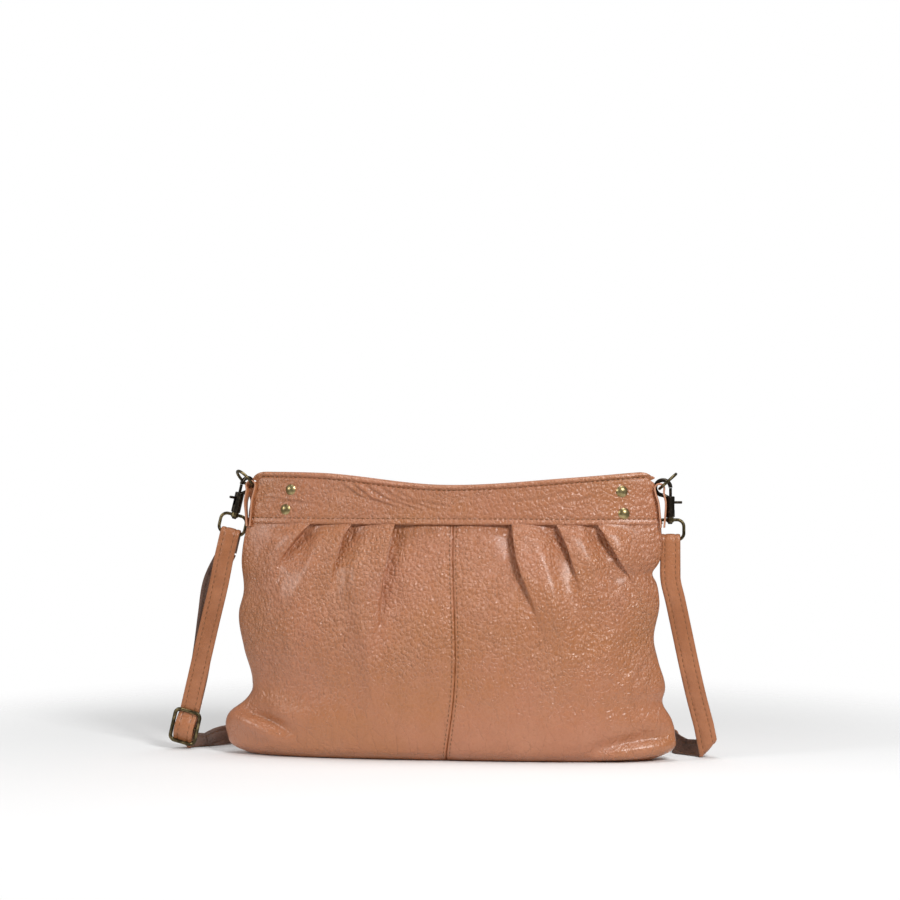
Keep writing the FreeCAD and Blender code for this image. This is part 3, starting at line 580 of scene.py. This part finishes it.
def bag_body():
    """The two pleated front halves and the back, which turns under the base."""
    front, back, plain_front, plain_back, folds = shell_grids()
    half_left = sheet_object("bag_front_left", front[:, :MIDDLE + 1], leather, LEATHER)
    half_right = sheet_object("bag_front_right", front[:, MIDDLE:], leather, LEATHER)
    t = np.linspace(0, 1, 15)[:-1, None, None]
    base = front[0][None] * (1 - t) + back[0][None] * t
    across = 1 - np.abs(np.linspace(-1, 1, base.shape[1])) ** 8
    base[..., 2] = BASE_LIFT * np.sin(np.pi * t[..., 0]) * across
    whole_back = sheet_object("bag_back", np.concatenate([base, back]), leather, LEATHER, flip=True)
    for obj, node in ((half_left, "front_panel_left"), (half_right, "front_panel_right"),
                      (whole_back, "back_panel")):
        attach(obj, "root")
        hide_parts(node)
    inner_front = lining_shape(plain_front, np.minimum(folds, 0))
    inner_back = lining_shape(plain_back, 0)
    for name, grid, node, flip in (("lining_cloth_front", inner_front, "lining_front", False),
                                   ("lining_cloth_back", inner_back, "lining_back", True)):
        obj = sheet_object(name, grid[4::2, ::3], lining_cloth, LINING_CLOTH, flip=flip)
        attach(obj, "root")
        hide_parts(node)
    return front, inner_back


# ---- stitches

def stitch_template():
    """One stitch along +X, arched towards +Z: rings of six points."""
    rings = []
    for s in (-1.0, -0.82, -0.3, 0.3, 0.82, 1.0):
        fat = math.sqrt(max(0.0, 1 - abs(s) ** 3)) + 0.06
        lift = 0.35 * (1 - s * s)
        for i in range(6):
            a = math.pi * i / 3
            rings.append((s, fat * math.cos(a), fat * math.sin(a) + lift))
    return np.array(rings)


def stitches(name, runs, pitch, length, radius, body):
    """Rows of stitches along runs of (points, normals)."""
    template = stitch_template()
    ring_faces = np.array(grid_faces(6, 6, wrap=True))
    verts = []
    faces = []
    for points, normals in runs:
        place = place_along(points)
        count = int(place[-1] / pitch)
        for i in range(count):
            at = (i + 0.5) * place[-1] / count
            start, end = [np.array([np.interp(a, place, points[:, c]) for c in range(3)])
                          for a in (at - length / 2, at + length / 2)]
            n = np.array([np.interp(at, place, normals[:, c]) for c in range(3)])
            d = unit(end - start)
            n = unit(n - d * (n @ d))
            long = template[:, :1] * d * length / 2
            round_it = (template[:, 1:2] * np.cross(n, d) + template[:, 2:3] * n) * radius
            faces.append(ring_faces + len(verts) * len(template))
            verts.append((start + end) / 2 + long + round_it)
    obj = mesh_object(name, np.concatenate(verts), np.concatenate(faces).tolist(), [brown_thread])
    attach(obj, body)
    return obj


def seam_stitches(front):
    """The stitch row on each side of the centre seam."""
    normals = grid_normals(front)
    seam_x = smooth(SEAM_LINE, front[:, MIDDLE, 2])
    runs = []
    rows = slice(3, front.shape[0] - 2)
    near = slice(MIDDLE - 20, MIDDLE + 21)
    for side in (-1, 1):
        points = []
        outs = []
        for row in range(front.shape[0]):
            want = seam_x[row] + side * SEAM_STITCH_OFFSET
            points.append([np.interp(want, front[row, near, 0], front[row, near, c]) for c in range(3)])
            outs.append(normals[row, MIDDLE + side * 6])
        points = np.array(points) + np.array(outs) * 0.12
        runs.append((points[rows], np.array(outs)[rows]))
    stitches("seam_stitches", runs, pitch=3.6, length=2.3, radius=0.26, body="root")


# ---- top band

BAND_HALF_WIDTH = [(174, 155.6), (194, 151.6), (216, 147.2)]
BAND_HALF_DEPTH = [(174, 16.2), (194, 15.4), (216, 15.0)]
TOP_EDGE = [(-151, 213.2), (-105, 212.2), (-9, 203.2), (90, 208.6), (151, 213.6)]
BAND_THICKNESS = 3.0
GROOVE_BELOW_TOP = 3.8
LOWER_ROW = 4.4
BAND_LEFT_REACH = 1.3
BAND_MEAN_HALF = 150
BAND_LAP = 0.2
FACING_DROP = 1.8
WIDTH_PER_INSET = 2.8
# Creases in the front band: start, middle and end (x, z), depth and width
BAND_CREASES = [
    ([(-84, 205), (-70, 195), (-46, 187)], 0.9, 2.0),
    ([(-76, 205), (-60, 193), (-34, 184)], 1.1, 2.0),
    ([(-66, 204), (-50, 193), (-22, 184)], 1.2, 2.1),
    ([(-56, 203), (-40, 193), (-12, 185)], 1.0, 2.0),
    ([(-48, 203), (-30, 192), (0, 187)], 0.8, 2.0),
    ([(-141, 193.4), (-126, 192.0), (-108, 189.6)], 0.7, 1.3),
    ([(-132, 190.6), (-120, 190.4), (-100, 189.0)], 0.5, 1.2),
    ([(92, 200), (70, 194), (40, 190)], 0.5, 2.6),
    ([(110, 196), (84, 190), (52, 183)], 0.5, 2.6),
    ([(-150.5, 208), (-151.5, 200), (-153.0, 190)], 0.6, 1.4),
]


def top_height(x):
    """Height of the bag's top edge, with its rounded corners."""
    corner = 3.5 * ease(-x, 144.5, 151.5) ** 2 + 3.0 * ease(x, 143.5, 149.5) ** 2
    return smooth(TOP_EDGE, x) - corner


def band_point(share, z, inset, side):
    """Points of the band's ring: share across, height, depth below the outer face, front -1 or back 1."""
    half = smooth(BAND_HALF_WIDTH, z) - WIDTH_PER_INSET * inset
    depth = (smooth(BAND_HALF_DEPTH, z) - inset) * (1 - np.abs(share) ** 4)
    return np.stack([share * (half + BAND_LEFT_REACH) - BAND_LEFT_REACH, side * depth, z], -1)


def band_relief(x, z, side):
    """How far the band's outer face stands proud of its plain shape."""
    top = top_height(x)
    below = top - z
    above = z - BAND_BOTTOM
    out = 0.65 * np.exp(-((below - 1.7) / 1.3) ** 2)
    out -= 0.75 * np.exp(-((below - GROOVE_BELOW_TOP) / 0.75) ** 2)
    out += 0.35 * np.exp(-((above - 1.4) / 1.5) ** 2)
    out -= 0.3 * np.exp(-((above - LOWER_ROW) / 0.8) ** 2)
    flat = np.stack([x, np.full_like(x, side * 9.0), z], -1)
    inside = ease(below, 3.5, 8) * ease(above, 3.5, 8)
    near_rivets = np.exp(-((np.abs(x) - 126) / 9) ** 2) if side < 0 else np.zeros_like(x)
    calm = inside * (1 - 0.9 * near_rivets)
    out += 0.9 * calm * bump_noise(flat, 30, 21) + 0.35 * calm * bump_noise(flat, 11, 22, (1.4, 1, 0.8))
    out += 0.16 * calm * bump_noise(flat, 5, 23)
    out -= 0.8 * np.exp(-((x + 20) / 42) ** 2) * np.exp(-((below - 10) / 8) ** 2)
    if side < 0:
        for line, depth, width in BAND_CREASES:
            d, along = to_line(x, z, line)
            life = ease(along, -0.12, 0.2) * ease(1 - along, -0.12, 0.3)
            lip = 0.7 * np.exp(-((d - width * 0.9) / width) ** 2)
            out += depth * life * (lip - np.exp(-(d / (width * 0.6)) ** 2))
    return out


def band_half(name, side, node):
    """One half of the band as a closed strip with a rolled top edge."""
    share = np.sin(np.linspace(-1, 1, 301) * math.pi / 2)
    rows = []
    levels = np.concatenate([np.linspace(0, 0.9, 40), np.linspace(0.9, 1, 14)[1:]])
    roll = BAND_THICKNESS / 2
    x_at = share * BAND_MEAN_HALF
    top = top_height(x_at)
    foot = BAND_BOTTOM - BAND_LAP
    for level in levels:
        z = foot + level * (top - roll - foot)
        plain = band_point(share, z, 0, side)
        edge = 0.7 * np.exp(-((z - foot) / 0.5) ** 2)
        rows.append(band_point(share, z, edge - band_relief(plain[:, 0], z, side), side))
    proud = band_relief(x_at, top - roll, side)
    for a in np.linspace(0, math.pi, 9)[1:-1]:
        inset = roll * (1 - math.cos(a)) - proud * math.cos(a / 2) ** 2
        rows.append(band_point(share, top - roll + roll * math.sin(a), inset, side))
    for level in np.linspace(1, 0, 12):
        rows.append(band_point(share, foot + level * (top - roll - foot), BAND_THICKNESS, side))
    grid = np.array(rows)
    faces = grid_faces(grid.shape[0], grid.shape[1])
    count = grid.shape[1]
    last = (grid.shape[0] - 1) * count
    faces += [[last + c, last + c + 1, c + 1, c] for c in range(count - 1)]
    if side > 0:
        faces = [f[::-1] for f in faces]
    obj = mesh_object(name, grid.reshape(-1, 3), faces, [band_leather])
    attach(obj, "root")
    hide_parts(node)


def band_row(side, offset, from_top, ends):
    """A line on the band's outer face, a distance below its top or above its bottom."""
    share = np.linspace(-ends, ends, 260)
    x = share * BAND_MEAN_HALF
    z = top_height(x) - offset if from_top else np.full_like(x, BAND_BOTTOM + offset)
    plain = band_point(share, z, 0, side)
    points = band_point(share, z, -band_relief(plain[:, 0], z, side) - 0.05, side)
    along = np.gradient(points, axis=0)
    up = np.tile(Z_AXIS, (len(points), 1))
    normals = unit(np.cross(along, up)) * (1 if side < 0 else -1)
    return points, normals


def top_band():
    """The band round the bag's top, its stitches and the leather facings inside it."""
    for name, side, node in (("band_front", -1, "top_band_front"), ("band_back", 1, "top_band_back")):
        band_half(name, side, node)
    runs = []
    for side in (-1, 1):
        runs.append(band_row(side, GROOVE_BELOW_TOP, True, 0.975))
        runs.append(band_row(side, LOWER_ROW, False, 0.985))
    stitches("band_stitches", runs, pitch=3.8, length=2.5, radius=0.27, body="root")
    for name, side in (("facing_front", -1), ("facing_back", 1)):
        share = np.sin(np.linspace(-1, 1, 121) * math.pi / 2)
        top = top_height(share * BAND_MEAN_HALF) - FACING_DROP
        rows = []
        for level in np.linspace(0, 1, 24):
            z = BAND_BOTTOM + level * (top - BAND_BOTTOM)
            wave = 0.12 * np.sin(share * 31 + level * 4)
            rows.append(band_point(share, z, BAND_THICKNESS + 0.25 + wave, side))
        obj = sheet_object(name, np.array(rows), band_leather, 1.0, flip=side > 0)
        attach(obj, "root")
        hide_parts("zip_" + name)


# ---- strap

STRAP_HALF = 7.5
STRAP_STITCH = 3.95
STRAP_SIDE = [(7.5, 0.0), (7.36, 0.62), (6.9, 1.02), (6.0, 1.2), (5.0, 1.22), (4.4, 1.05),
              (STRAP_STITCH, 0.8), (3.5, 1.02), (2.8, 1.24), (1.4, 1.34), (0.0, 1.36)]
LEFT_EYE = np.array([-169.7, 3.3, 173.0])
RIGHT_EYE = np.array([161.6, 5.2, 170.2])
EYE_TO_BAR = 7.4
FOLD_MIDDLE = 3.3
LEFT_LEAN = math.radians(13.4)
RIGHT_LEAN = math.radians(-0.3)
# The strap's fixed end: how far above the slider's middle, how far to the left, how far off the running strap
FIXED_END = [(112, 6.5, 3.4), (88, 4.2, 1.2), (64, 1.6, 0.2), (40, 0, 0), (18, 0, 0), (4, 0, 0), (-9, 0, 0)]
SLIDER_CENTRE = np.array([-209.5, 14.0, 17.0])
LEFT_UP = unit([0.2515, -0.117, 0.961])
STRAP_BEHIND = 3.1
FLOOR_POINTS = [(164, 52), (122, 84), (64, 110), (0, 119.5), (-64, 112), (-122, 87), (-170, 54)]
EDGE_HEIGHT = 7.9
FLOOR_LEAN = np.array([0.06, 0.05, 1.0])
RIGHT_LEG = 28
RIGHT_LEGS_MEET = -0.55
RIGHT_DROP = [(165.6, 4.0, 117), (170.6, 6.2, 93), (175.8, 8.5, 68), (181.0, 11.5, 45)]
RIGHT_TURN = (np.array([189.2, 16.0, 9.6]), unit([0.19, 0.13, -0.973]), unit([0.981, 0, 0.192]))
RIGHT_TURN_SPAN = (15.0, 27.0)
LEFT_LEG = 14
LEFT_BOW = np.array([0.6, -0.6, 0])
LEFT_TURN_HEIGHT = 8.6
LEFT_TURN_SPAN = (8.0, 24.0)
# The bulge over the slider's bar: height above the bar, how far behind the slider's plane
BULGE = [(11.6, 1.75), (9.2, 1.2), (6.6, -0.7), (3.6, -2.6), (0.2, -3.15), (-3.6, -2.8), (-7.0, -1.0),
         (-9.4, 1.0), (-11.6, 1.75)]


def section():
    """The strap's section as points (across, out), grain side first, and how many are on that side."""
    top = [(-w, h) for w, h in STRAP_SIDE] + [(w, h) for w, h in STRAP_SIDE[-2::-1]]
    under = [(w, -h * 0.92) for w, h in STRAP_SIDE[1:]]
    under += [(-w, -h * 0.92) for w, h in STRAP_SIDE[-2:0:-1]]
    return np.array(top + under), len(top)


def path_points(points, step):
    """A smooth path through the points, with its directions, at even steps."""
    points = np.array(points, float)
    place = place_along(points)
    count = max(2, int(place[-1] / step))
    at = np.linspace(0, place[-1], count)
    curve = np.stack([smooth(list(zip(place, points[:, c])), at) for c in range(3)], -1)
    return curve, unit(np.gradient(curve, axis=0))


def rows_along(centres, directions, across, shape=None):
    """Section points for each row of a path, from its across direction; the strap's section by default."""
    if shape is None:
        shape, _ = section()
    across = unit(across - directions * np.sum(across * directions, -1, keepdims=True))
    out = np.cross(directions, across)
    return centres[:, None] + across[:, None] * shape[None, :, :1] + out[:, None] * shape[None, :, 1:]


class Corner:
    """A flat strap that comes down, folds along a slanted line and leaves on edge."""

    def __init__(self, origin, down, across, hand, angle=math.radians(128), radius=2.6):
        self.origin = origin
        self.down = down
        self.across = across
        self.hand = hand
        self.angle = angle
        self.radius = radius
        slant = math.atan(math.sqrt(-1 / math.cos(angle)))
        self.sin = math.sin(slant)
        self.cos = math.cos(slant)
        self.line = self.cos * down + hand * self.sin * across
        self.past = self.sin * down - hand * self.cos * across
        self.inward = -np.cross(down, across)
        self.turned = math.cos(angle) * self.past + math.sin(angle) * self.inward

    def place(self, across, down, out):
        """The folded place of points given flat."""
        along = self.cos * down + self.hand * self.sin * across
        over = self.sin * down - self.hand * self.cos * across
        bend = np.clip(over / self.radius, 0, self.angle)
        extra = np.clip(over - self.radius * self.angle, 0, None)
        before = np.minimum(over, 0)
        forward = before + (self.radius + out) * np.sin(bend)
        inward = self.radius - (self.radius + out) * np.cos(bend)
        return (self.origin + along[..., None] * self.line + forward[..., None] * self.past
                + inward[..., None] * self.inward + extra[..., None] * self.turned)

    def rows(self, start, stop, step=0.6):
        """Section rows from start to stop, measured down the strap from the fold's middle."""
        shape, _ = section()
        down = np.arange(start, stop, step)[:, None]
        return self.place(*np.broadcast_arrays(shape[:, 0], down, shape[:, 1]))

    def leaving(self, at):
        """Centre, direction and across direction of the strap past the fold."""
        centre = self.place(np.zeros(1), np.array([at]), np.zeros(1))[0]
        direction = self.cos * self.line + self.sin * self.turned
        across = self.hand * (self.sin * self.line - self.cos * self.turned)
        return centre, direction, across


def hanger_path(eye, lean, leg, back_gap):
    """The strap over an eye's lower bar, from front to back: its points and across direction."""
    up = np.array([-math.sin(lean), 0, math.cos(lean)])
    across = np.array([math.cos(lean), 0, math.sin(lean)])
    bar = eye - up * EYE_TO_BAR
    back = np.array([0, 1.0, 0])
    turns = np.linspace(0, math.pi, 13)
    over = [bar - back * FOLD_MIDDLE * math.cos(a) + up * FOLD_MIDDLE * math.sin(a) for a in turns]
    drops = (2.0, leg * 0.5, leg)
    front = [bar - back * FOLD_MIDDLE - up * d for d in drops[::-1]]
    behind = []
    for d in drops:
        gap = FOLD_MIDDLE + (back_gap - FOLD_MIDDLE) * (d / leg) ** 1.2
        behind.append(bar + back * gap - up * d)
    return np.array(front + over + behind), across


def strap_object(name, rows, body, nodes):
    """A strap from its section rows, grain leather outside and dark leather inside, with its stitches."""
    shape, top = section()
    count = len(shape)
    faces = tube_faces(len(rows), count)
    grain_side = [0 if c < top or c == count - 1 else 1 for c in range(count)]
    kinds = list(np.tile(grain_side, len(rows) - 1)) + [0, 0]
    obj = mesh_object(name, rows.reshape(-1, 3), faces, [strap_grain, strap_inner], kinds)
    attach(obj, body)
    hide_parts(*nodes)
    runs = []
    for offset in (-STRAP_STITCH, STRAP_STITCH):
        for index in np.flatnonzero(np.isclose(shape[:, 0], offset)):
            same_face = shape[:, 1] * shape[index, 1] > 0
            opposite = np.argmin(np.abs(shape[:, 0] - offset) + 9 * same_face)
            runs.append((rows[:, index], unit(rows[:, index] - rows[:, opposite])))
    thread_obj = stitches(name + "_stitches", runs, pitch=4.2, length=2.7, radius=0.26, body=body)
    return obj, thread_obj


def long_strap():
    """The strap from the right eye down, round behind the bag on the table and up through the slider."""
    right, right_across = hanger_path(RIGHT_EYE, -RIGHT_LEAN, RIGHT_LEG, RIGHT_LEGS_MEET)
    start_turn = Corner(*RIGHT_TURN, -1)
    before, past = RIGHT_TURN_SPAN
    drop_end = start_turn.origin - start_turn.down * before
    path = list(right[::-1]) + RIGHT_DROP + [tuple(drop_end)]
    centres, directions = path_points(path, 1.6)
    share = np.linspace(0, 1, len(centres))[:, None]
    across = right_across * (1 - ease(share, 0.4, 1)) + start_turn.across * ease(share, 0.4, 1)
    rows = [rows_along(centres[:-1], directions[:-1], across[:-1])]
    rows.append(start_turn.rows(-before, past))
    left_across = unit([LEFT_UP[2], 0, -LEFT_UP[0]])
    back = np.cross(LEFT_UP, left_across)
    line = SLIDER_CENTRE + back * STRAP_BEHIND
    low = line - LEFT_UP * ((line[2] - LEFT_TURN_HEIGHT) / LEFT_UP[2])
    end_turn = Corner(low, -LEFT_UP, left_across, 1, radius=2.4)
    above, beyond = LEFT_TURN_SPAN
    first = start_turn.leaving(past)
    last = end_turn.leaving(beyond)
    ends = [[centre + way * 0.5, np.array([*(centre + way * 7)[:2], (centre[2] + EDGE_HEIGHT) / 2])]
            for centre, way, _ in (first, last)]
    floor = ends[0] + [np.array([x, y, EDGE_HEIGHT]) for x, y in FLOOR_POINTS] + ends[1][::-1]
    centres, directions = path_points(floor, 3.0)
    share = np.linspace(0, 1, len(centres))[:, None]
    begin = ease(share, 0, 0.09)
    end = ease(share, 0.91, 1)
    across = first[2] * (1 - begin) + FLOOR_LEAN * begin * (1 - end) - last[2] * end
    rows.append(rows_along(centres, directions, across))
    turned = end_turn.rows(-above, beyond)[::-1]
    shape, _ = section()
    mirror = [int(np.argmin(np.hypot(shape[:, 0] + w, shape[:, 1] - h))) for w, h in shape]
    rows.append(turned[:, mirror])
    left, up_across = hanger_path(LEFT_EYE, -LEFT_LEAN, LEFT_LEG, FOLD_MIDDLE)
    straight = [low + LEFT_UP * height for height in (8.6, 30, 60, 96)]
    middle = (straight[-1] + left[0]) / 2 + LEFT_BOW
    centres, directions = path_points(straight + [middle] + list(left), 1.8)
    share = np.linspace(0, 1, len(centres))[:, None]
    across = -(left_across * (1 - ease(share, 0.55, 0.9)) + up_across * ease(share, 0.55, 0.9))
    rows.append(rows_along(centres, directions, across))
    rows = np.concatenate(rows)
    rows[..., 2] = np.maximum(rows[..., 2], 0.15)
    strap_object("strap", rows, "root", ["strap_right_loop", "strap_right_drop", "strap_floor_run",
                                         "strap_left_fold", "strap_left_outer"])
    print("strap length mm", round(float(place_along(rows.mean(axis=1))[-1])))
    return left, up_across, line, left_across, back


def inner_strap(left, up_across, line, left_across, back):
    """The strap's fixed end, which lies behind the running strap above the slider."""
    points = [left[-1]]
    for height, sideways, gap in FIXED_END:
        points.append(line + LEFT_UP * height + back * (3.0 + gap) - left_across * sideways)
    centres, directions = path_points(points, 1.8)
    share = np.linspace(0, 1, len(centres))[:, None]
    across = -(up_across * (1 - ease(share, 0, 0.5)) + left_across * ease(share, 0, 0.5))
    rows = rows_along(centres, directions, across)
    pieces = strap_object("strap_fixed_end", rows, "root", ["strap_left_inner"])
    for piece in pieces:
        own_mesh(piece)


def wrap(left_across, back):
    """The running strap's bulge over the slider's centre bar."""
    points = [SLIDER_CENTRE + LEFT_UP * (z - 0.4) + back * y for z, y in reversed(BULGE)]
    centres, directions = path_points(points, 0.8)
    rows = rows_along(centres, directions, np.tile(-left_across, (len(centres), 1)))
    strap_object("strap_bulge", rows, "strap_adjuster", ["strap_wrap"])


# ---- tabs

TAB_WIDTH = 6.5
TAB_LEATHER = 1.35
TAB_LOOP = 2.85 + TAB_LEATHER / 2
# The two legs of a tab: how far out from its foot, and height above it
TAB_INNER_LEG = [(-1.6, 0), (-2.4, 9), (-3.4, 18)]
TAB_OUTER_LEG = [(1.9, 18), (1.5, 9), (0.75, 0)]
SIDES = [("left", -1, np.array([-153.6, 0, 201.8]), math.radians(25)),
         ("right", 1, np.array([153.9, 0, 200.8]), 0.0)]


def tab(name, sign, fold, twist):
    """A strip of leather folded round the ring, with paler cut edges."""
    foot = np.array([sign * 156.6, -0.75, 172.0])
    turns = np.linspace(-0.08 * math.pi, 1.1 * math.pi, 15)
    middle = fold + np.array([0, -0.75, 0])
    path = [foot + np.array([sign * x, 0, z]) for x, z in TAB_INNER_LEG]
    for a in turns:
        path.append(middle + np.array([-sign * TAB_LOOP * math.cos(a), 0, TAB_LOOP * math.sin(a)]))
    path += [foot + np.array([sign * x, 0, z]) for x, z in TAB_OUTER_LEG]
    centres, directions = path_points(path, 0.7)
    height = ease(centres[:, 2:], foot[2] + 8, fold[2] - 1)
    across = np.array([0, 1.0, 0]) + height * math.tan(twist) * np.array([-sign * 0.69, 0, -0.72]) * 0.9
    half = TAB_WIDTH / 2
    thick = TAB_LEATHER / 2
    shape = np.array([
        (-half, -thick * 0.7), (-half, thick * 0.7), (-half + 0.35, thick), (0, thick * 1.06),
        (half - 0.35, thick), (half, thick * 0.7), (half, -thick * 0.7), (half - 0.35, -thick), (0, -thick),
        (-half + 0.35, -thick),
    ])
    rows = rows_along(centres, directions, across, shape * (1, sign))
    faces = tube_faces(len(rows), len(shape))
    kinds = list(np.tile([1, 0, 0, 0, 0, 1, 0, 0, 0, 0], len(rows) - 1))
    if sign > 0:
        faces = [f[::-1] for f in faces]
    obj = mesh_object(name + "_tab_leather", rows.reshape(-1, 3), faces, [strap_grain, cut_edge],
                      kinds + [1, 1])
    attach(obj, "root")
    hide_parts(name + "_tab")


# ---- inside

def slip_pocket(inner_back):
    """The cloth pocket sewn on the back lining, with a turned hem along its mouth."""
    low, high = node_box("inner_pocket")
    x = np.linspace(low[0], high[0], 61)
    z = np.linspace(low[2], high[2], 29)
    heights = inner_back[:, MIDDLE, 2]
    nearest = [int(np.argmin(np.abs(heights - h))) for h in z]
    wall = np.array([np.interp(x, inner_back[row, :, 0], inner_back[row, :, 1]) for row in nearest])
    side = 1 - np.abs(np.linspace(-1, 1, len(x))) ** 10
    rise = ease(z, low[2], low[2] + 14)
    gap = 1.4 + 6.2 * side[None, :] * rise[:, None]
    hem = 0.5 * ease(z, high[2] - 7, high[2] - 6)[:, None]
    y = wall - gap - hem
    p = np.stack([np.broadcast_to(x, y.shape), y, np.broadcast_to(z[:, None], y.shape)], -1)
    obj = sheet_object("slip_pocket", p, lining_cloth, 0.8)
    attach(obj, "root")
    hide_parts("inner_pocket")


def bolt_springs():
    """The coil under each hook's bolt, a steel copy of the CAD spring carried with its hook."""
    for name, eye, lean in (("left", LEFT_EYE, LEFT_LEAN), ("right", RIGHT_EYE, RIGHT_LEAN)):
        node = bpy.data.objects[name + "_hook_spring"]
        coil = add_object(name + "_bolt_spring", node.data.copy())
        coil.matrix_world = node.matrix_world.copy()
        coil.data.materials.clear()
        coil.data.materials.append(steel)
        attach(coil, name + "_hook")
        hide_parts(node.name)
        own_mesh(coil)


def carried_over():
    """Finishes for the CAD pieces that show as they are."""
    finishes = {"rivet_caps": rivet_brass, "rivet_posts": rivet_brass, "strap_slider": brass,
                "strap_slider_bar": brass, "zip_tape_front": tape_cloth, "zip_tape_back": tape_cloth}
    for part in ("teeth_front", "teeth_back", "stops", "slider", "pull"):
        finishes["zip_" + part] = zip_brass
    for side in ("left", "right"):
        finishes[side + "_tab_ring"] = brass
        finishes[side + "_swivel_eye"] = brass
        finishes[side + "_hook_body"] = bronze
        finishes[side + "_hook_bolt"] = bronze
    for name, mat in finishes.items():
        for s in bpy.data.objects[name].material_slots:
            s.link = "OBJECT"
            s.material = mat


# ---- studio

# The studio's own values are metres and watts
CAMERA_DISTANCE = 1.594
CAMERA_HEIGHT = 0.2295
CAMERA_AZIMUTH = math.radians(7)
CAMERA_SIDE = -0.0026
SURROUND = 0.26
LIGHTS = [
    ("key", (0.62, -0.85, 0.85), 0.3, 10.5),
    ("fill", (-0.9, -0.6, 0.55), 0.3, 3.2),
    ("top", (0.1, 0.0, 1.5), 0.7, 9.0),
]
LIGHT_AIM = (0, 0, 0.1)
FLOOR_FADE = (0.26, 0.62)
FLOOR_REACH = 6.0
FLOOR_DROP = 0.0004


def area_light(name, place, size, power):
    """A softbox at a place, facing the bag."""
    data = bpy.data.lights.new(name, "AREA")
    data.shape = "SQUARE"
    data.size = size
    data.energy = power
    obj = add_object(name, data)
    obj.location = place
    obj.rotation_euler = (Vector(LIGHT_AIM) - Vector(place)).to_track_quat("-Z", "Y").to_euler()


def floor_white():
    """A matt white floor that fades into the white surround away from the object."""
    n = Nodes("floor_white")
    away = n.add("VectorMath", {0: n.coords()}, operation="LENGTH").outputs["Value"]
    fade = n.remap(away, *FLOOR_FADE)
    matt = n.add("BsdfDiffuse", {"Color": (0.86, 0.86, 0.86, 1.0)}).outputs[0]
    clear = n.add("BsdfTransparent").outputs[0]
    return n.output(n.add("MixShader", {0: fade, 1: matt, 2: clear}))


def white_world():
    """A white surround that lights the object less strongly than it shows."""
    world = bpy.data.worlds.new("surround")
    world.use_nodes = True
    light = world.node_tree.nodes["Background"]
    light.inputs[0].default_value = (1, 1, 1, 1)
    path = world.node_tree.nodes.new("ShaderNodeLightPath")
    amount = world.node_tree.nodes.new("ShaderNodeMapRange")
    amount.inputs["To Min"].default_value = SURROUND
    amount.inputs["To Max"].default_value = 1.0
    world.node_tree.links.new(path.outputs["Is Camera Ray"], amount.inputs["Value"])
    world.node_tree.links.new(amount.outputs[0], light.inputs[1])
    bpy.context.scene.world = world


def studio_floor():
    """The pale floor."""
    mesh = bpy.data.meshes.new("floor")
    r = FLOOR_REACH
    mesh.from_pydata([(-r, -r, 0), (r, -r, 0), (r, r, 0), (-r, r, 0)], [], [(0, 1, 2, 3)])
    mesh.materials.append(floor_white())
    floor = add_object("floor", mesh)
    floor.location.z = -FLOOR_DROP


def studio_camera():
    """The level camera in front of the bag."""
    data = bpy.data.cameras.new("camera")
    data.lens = 85
    data.sensor_width = 36
    data.clip_start = 0.05
    data.clip_end = 20
    camera = add_object("camera", data)
    camera.location = (CAMERA_SIDE + math.sin(CAMERA_AZIMUTH) * CAMERA_DISTANCE,
                       -math.cos(CAMERA_AZIMUTH) * CAMERA_DISTANCE, CAMERA_HEIGHT)
    camera.rotation_euler = (math.pi / 2, 0, CAMERA_AZIMUTH)
    bpy.context.scene.camera = camera


def studio():
    """The floor, the white surround, soft lights and the camera."""
    studio_floor()
    white_world()
    bpy.context.scene.view_settings.view_transform = "Standard"
    for facts in LIGHTS:
        area_light(*facts)
    studio_camera()


studio()
front_grid, inner_back_grid = bag_body()
seam_stitches(front_grid)
top_band()
strap_facts = long_strap()
inner_strap(*strap_facts)
wrap(*strap_facts[3:])
for side_facts in SIDES:
    tab(*side_facts)
slip_pocket(inner_back_grid)
bolt_springs()
carried_over()
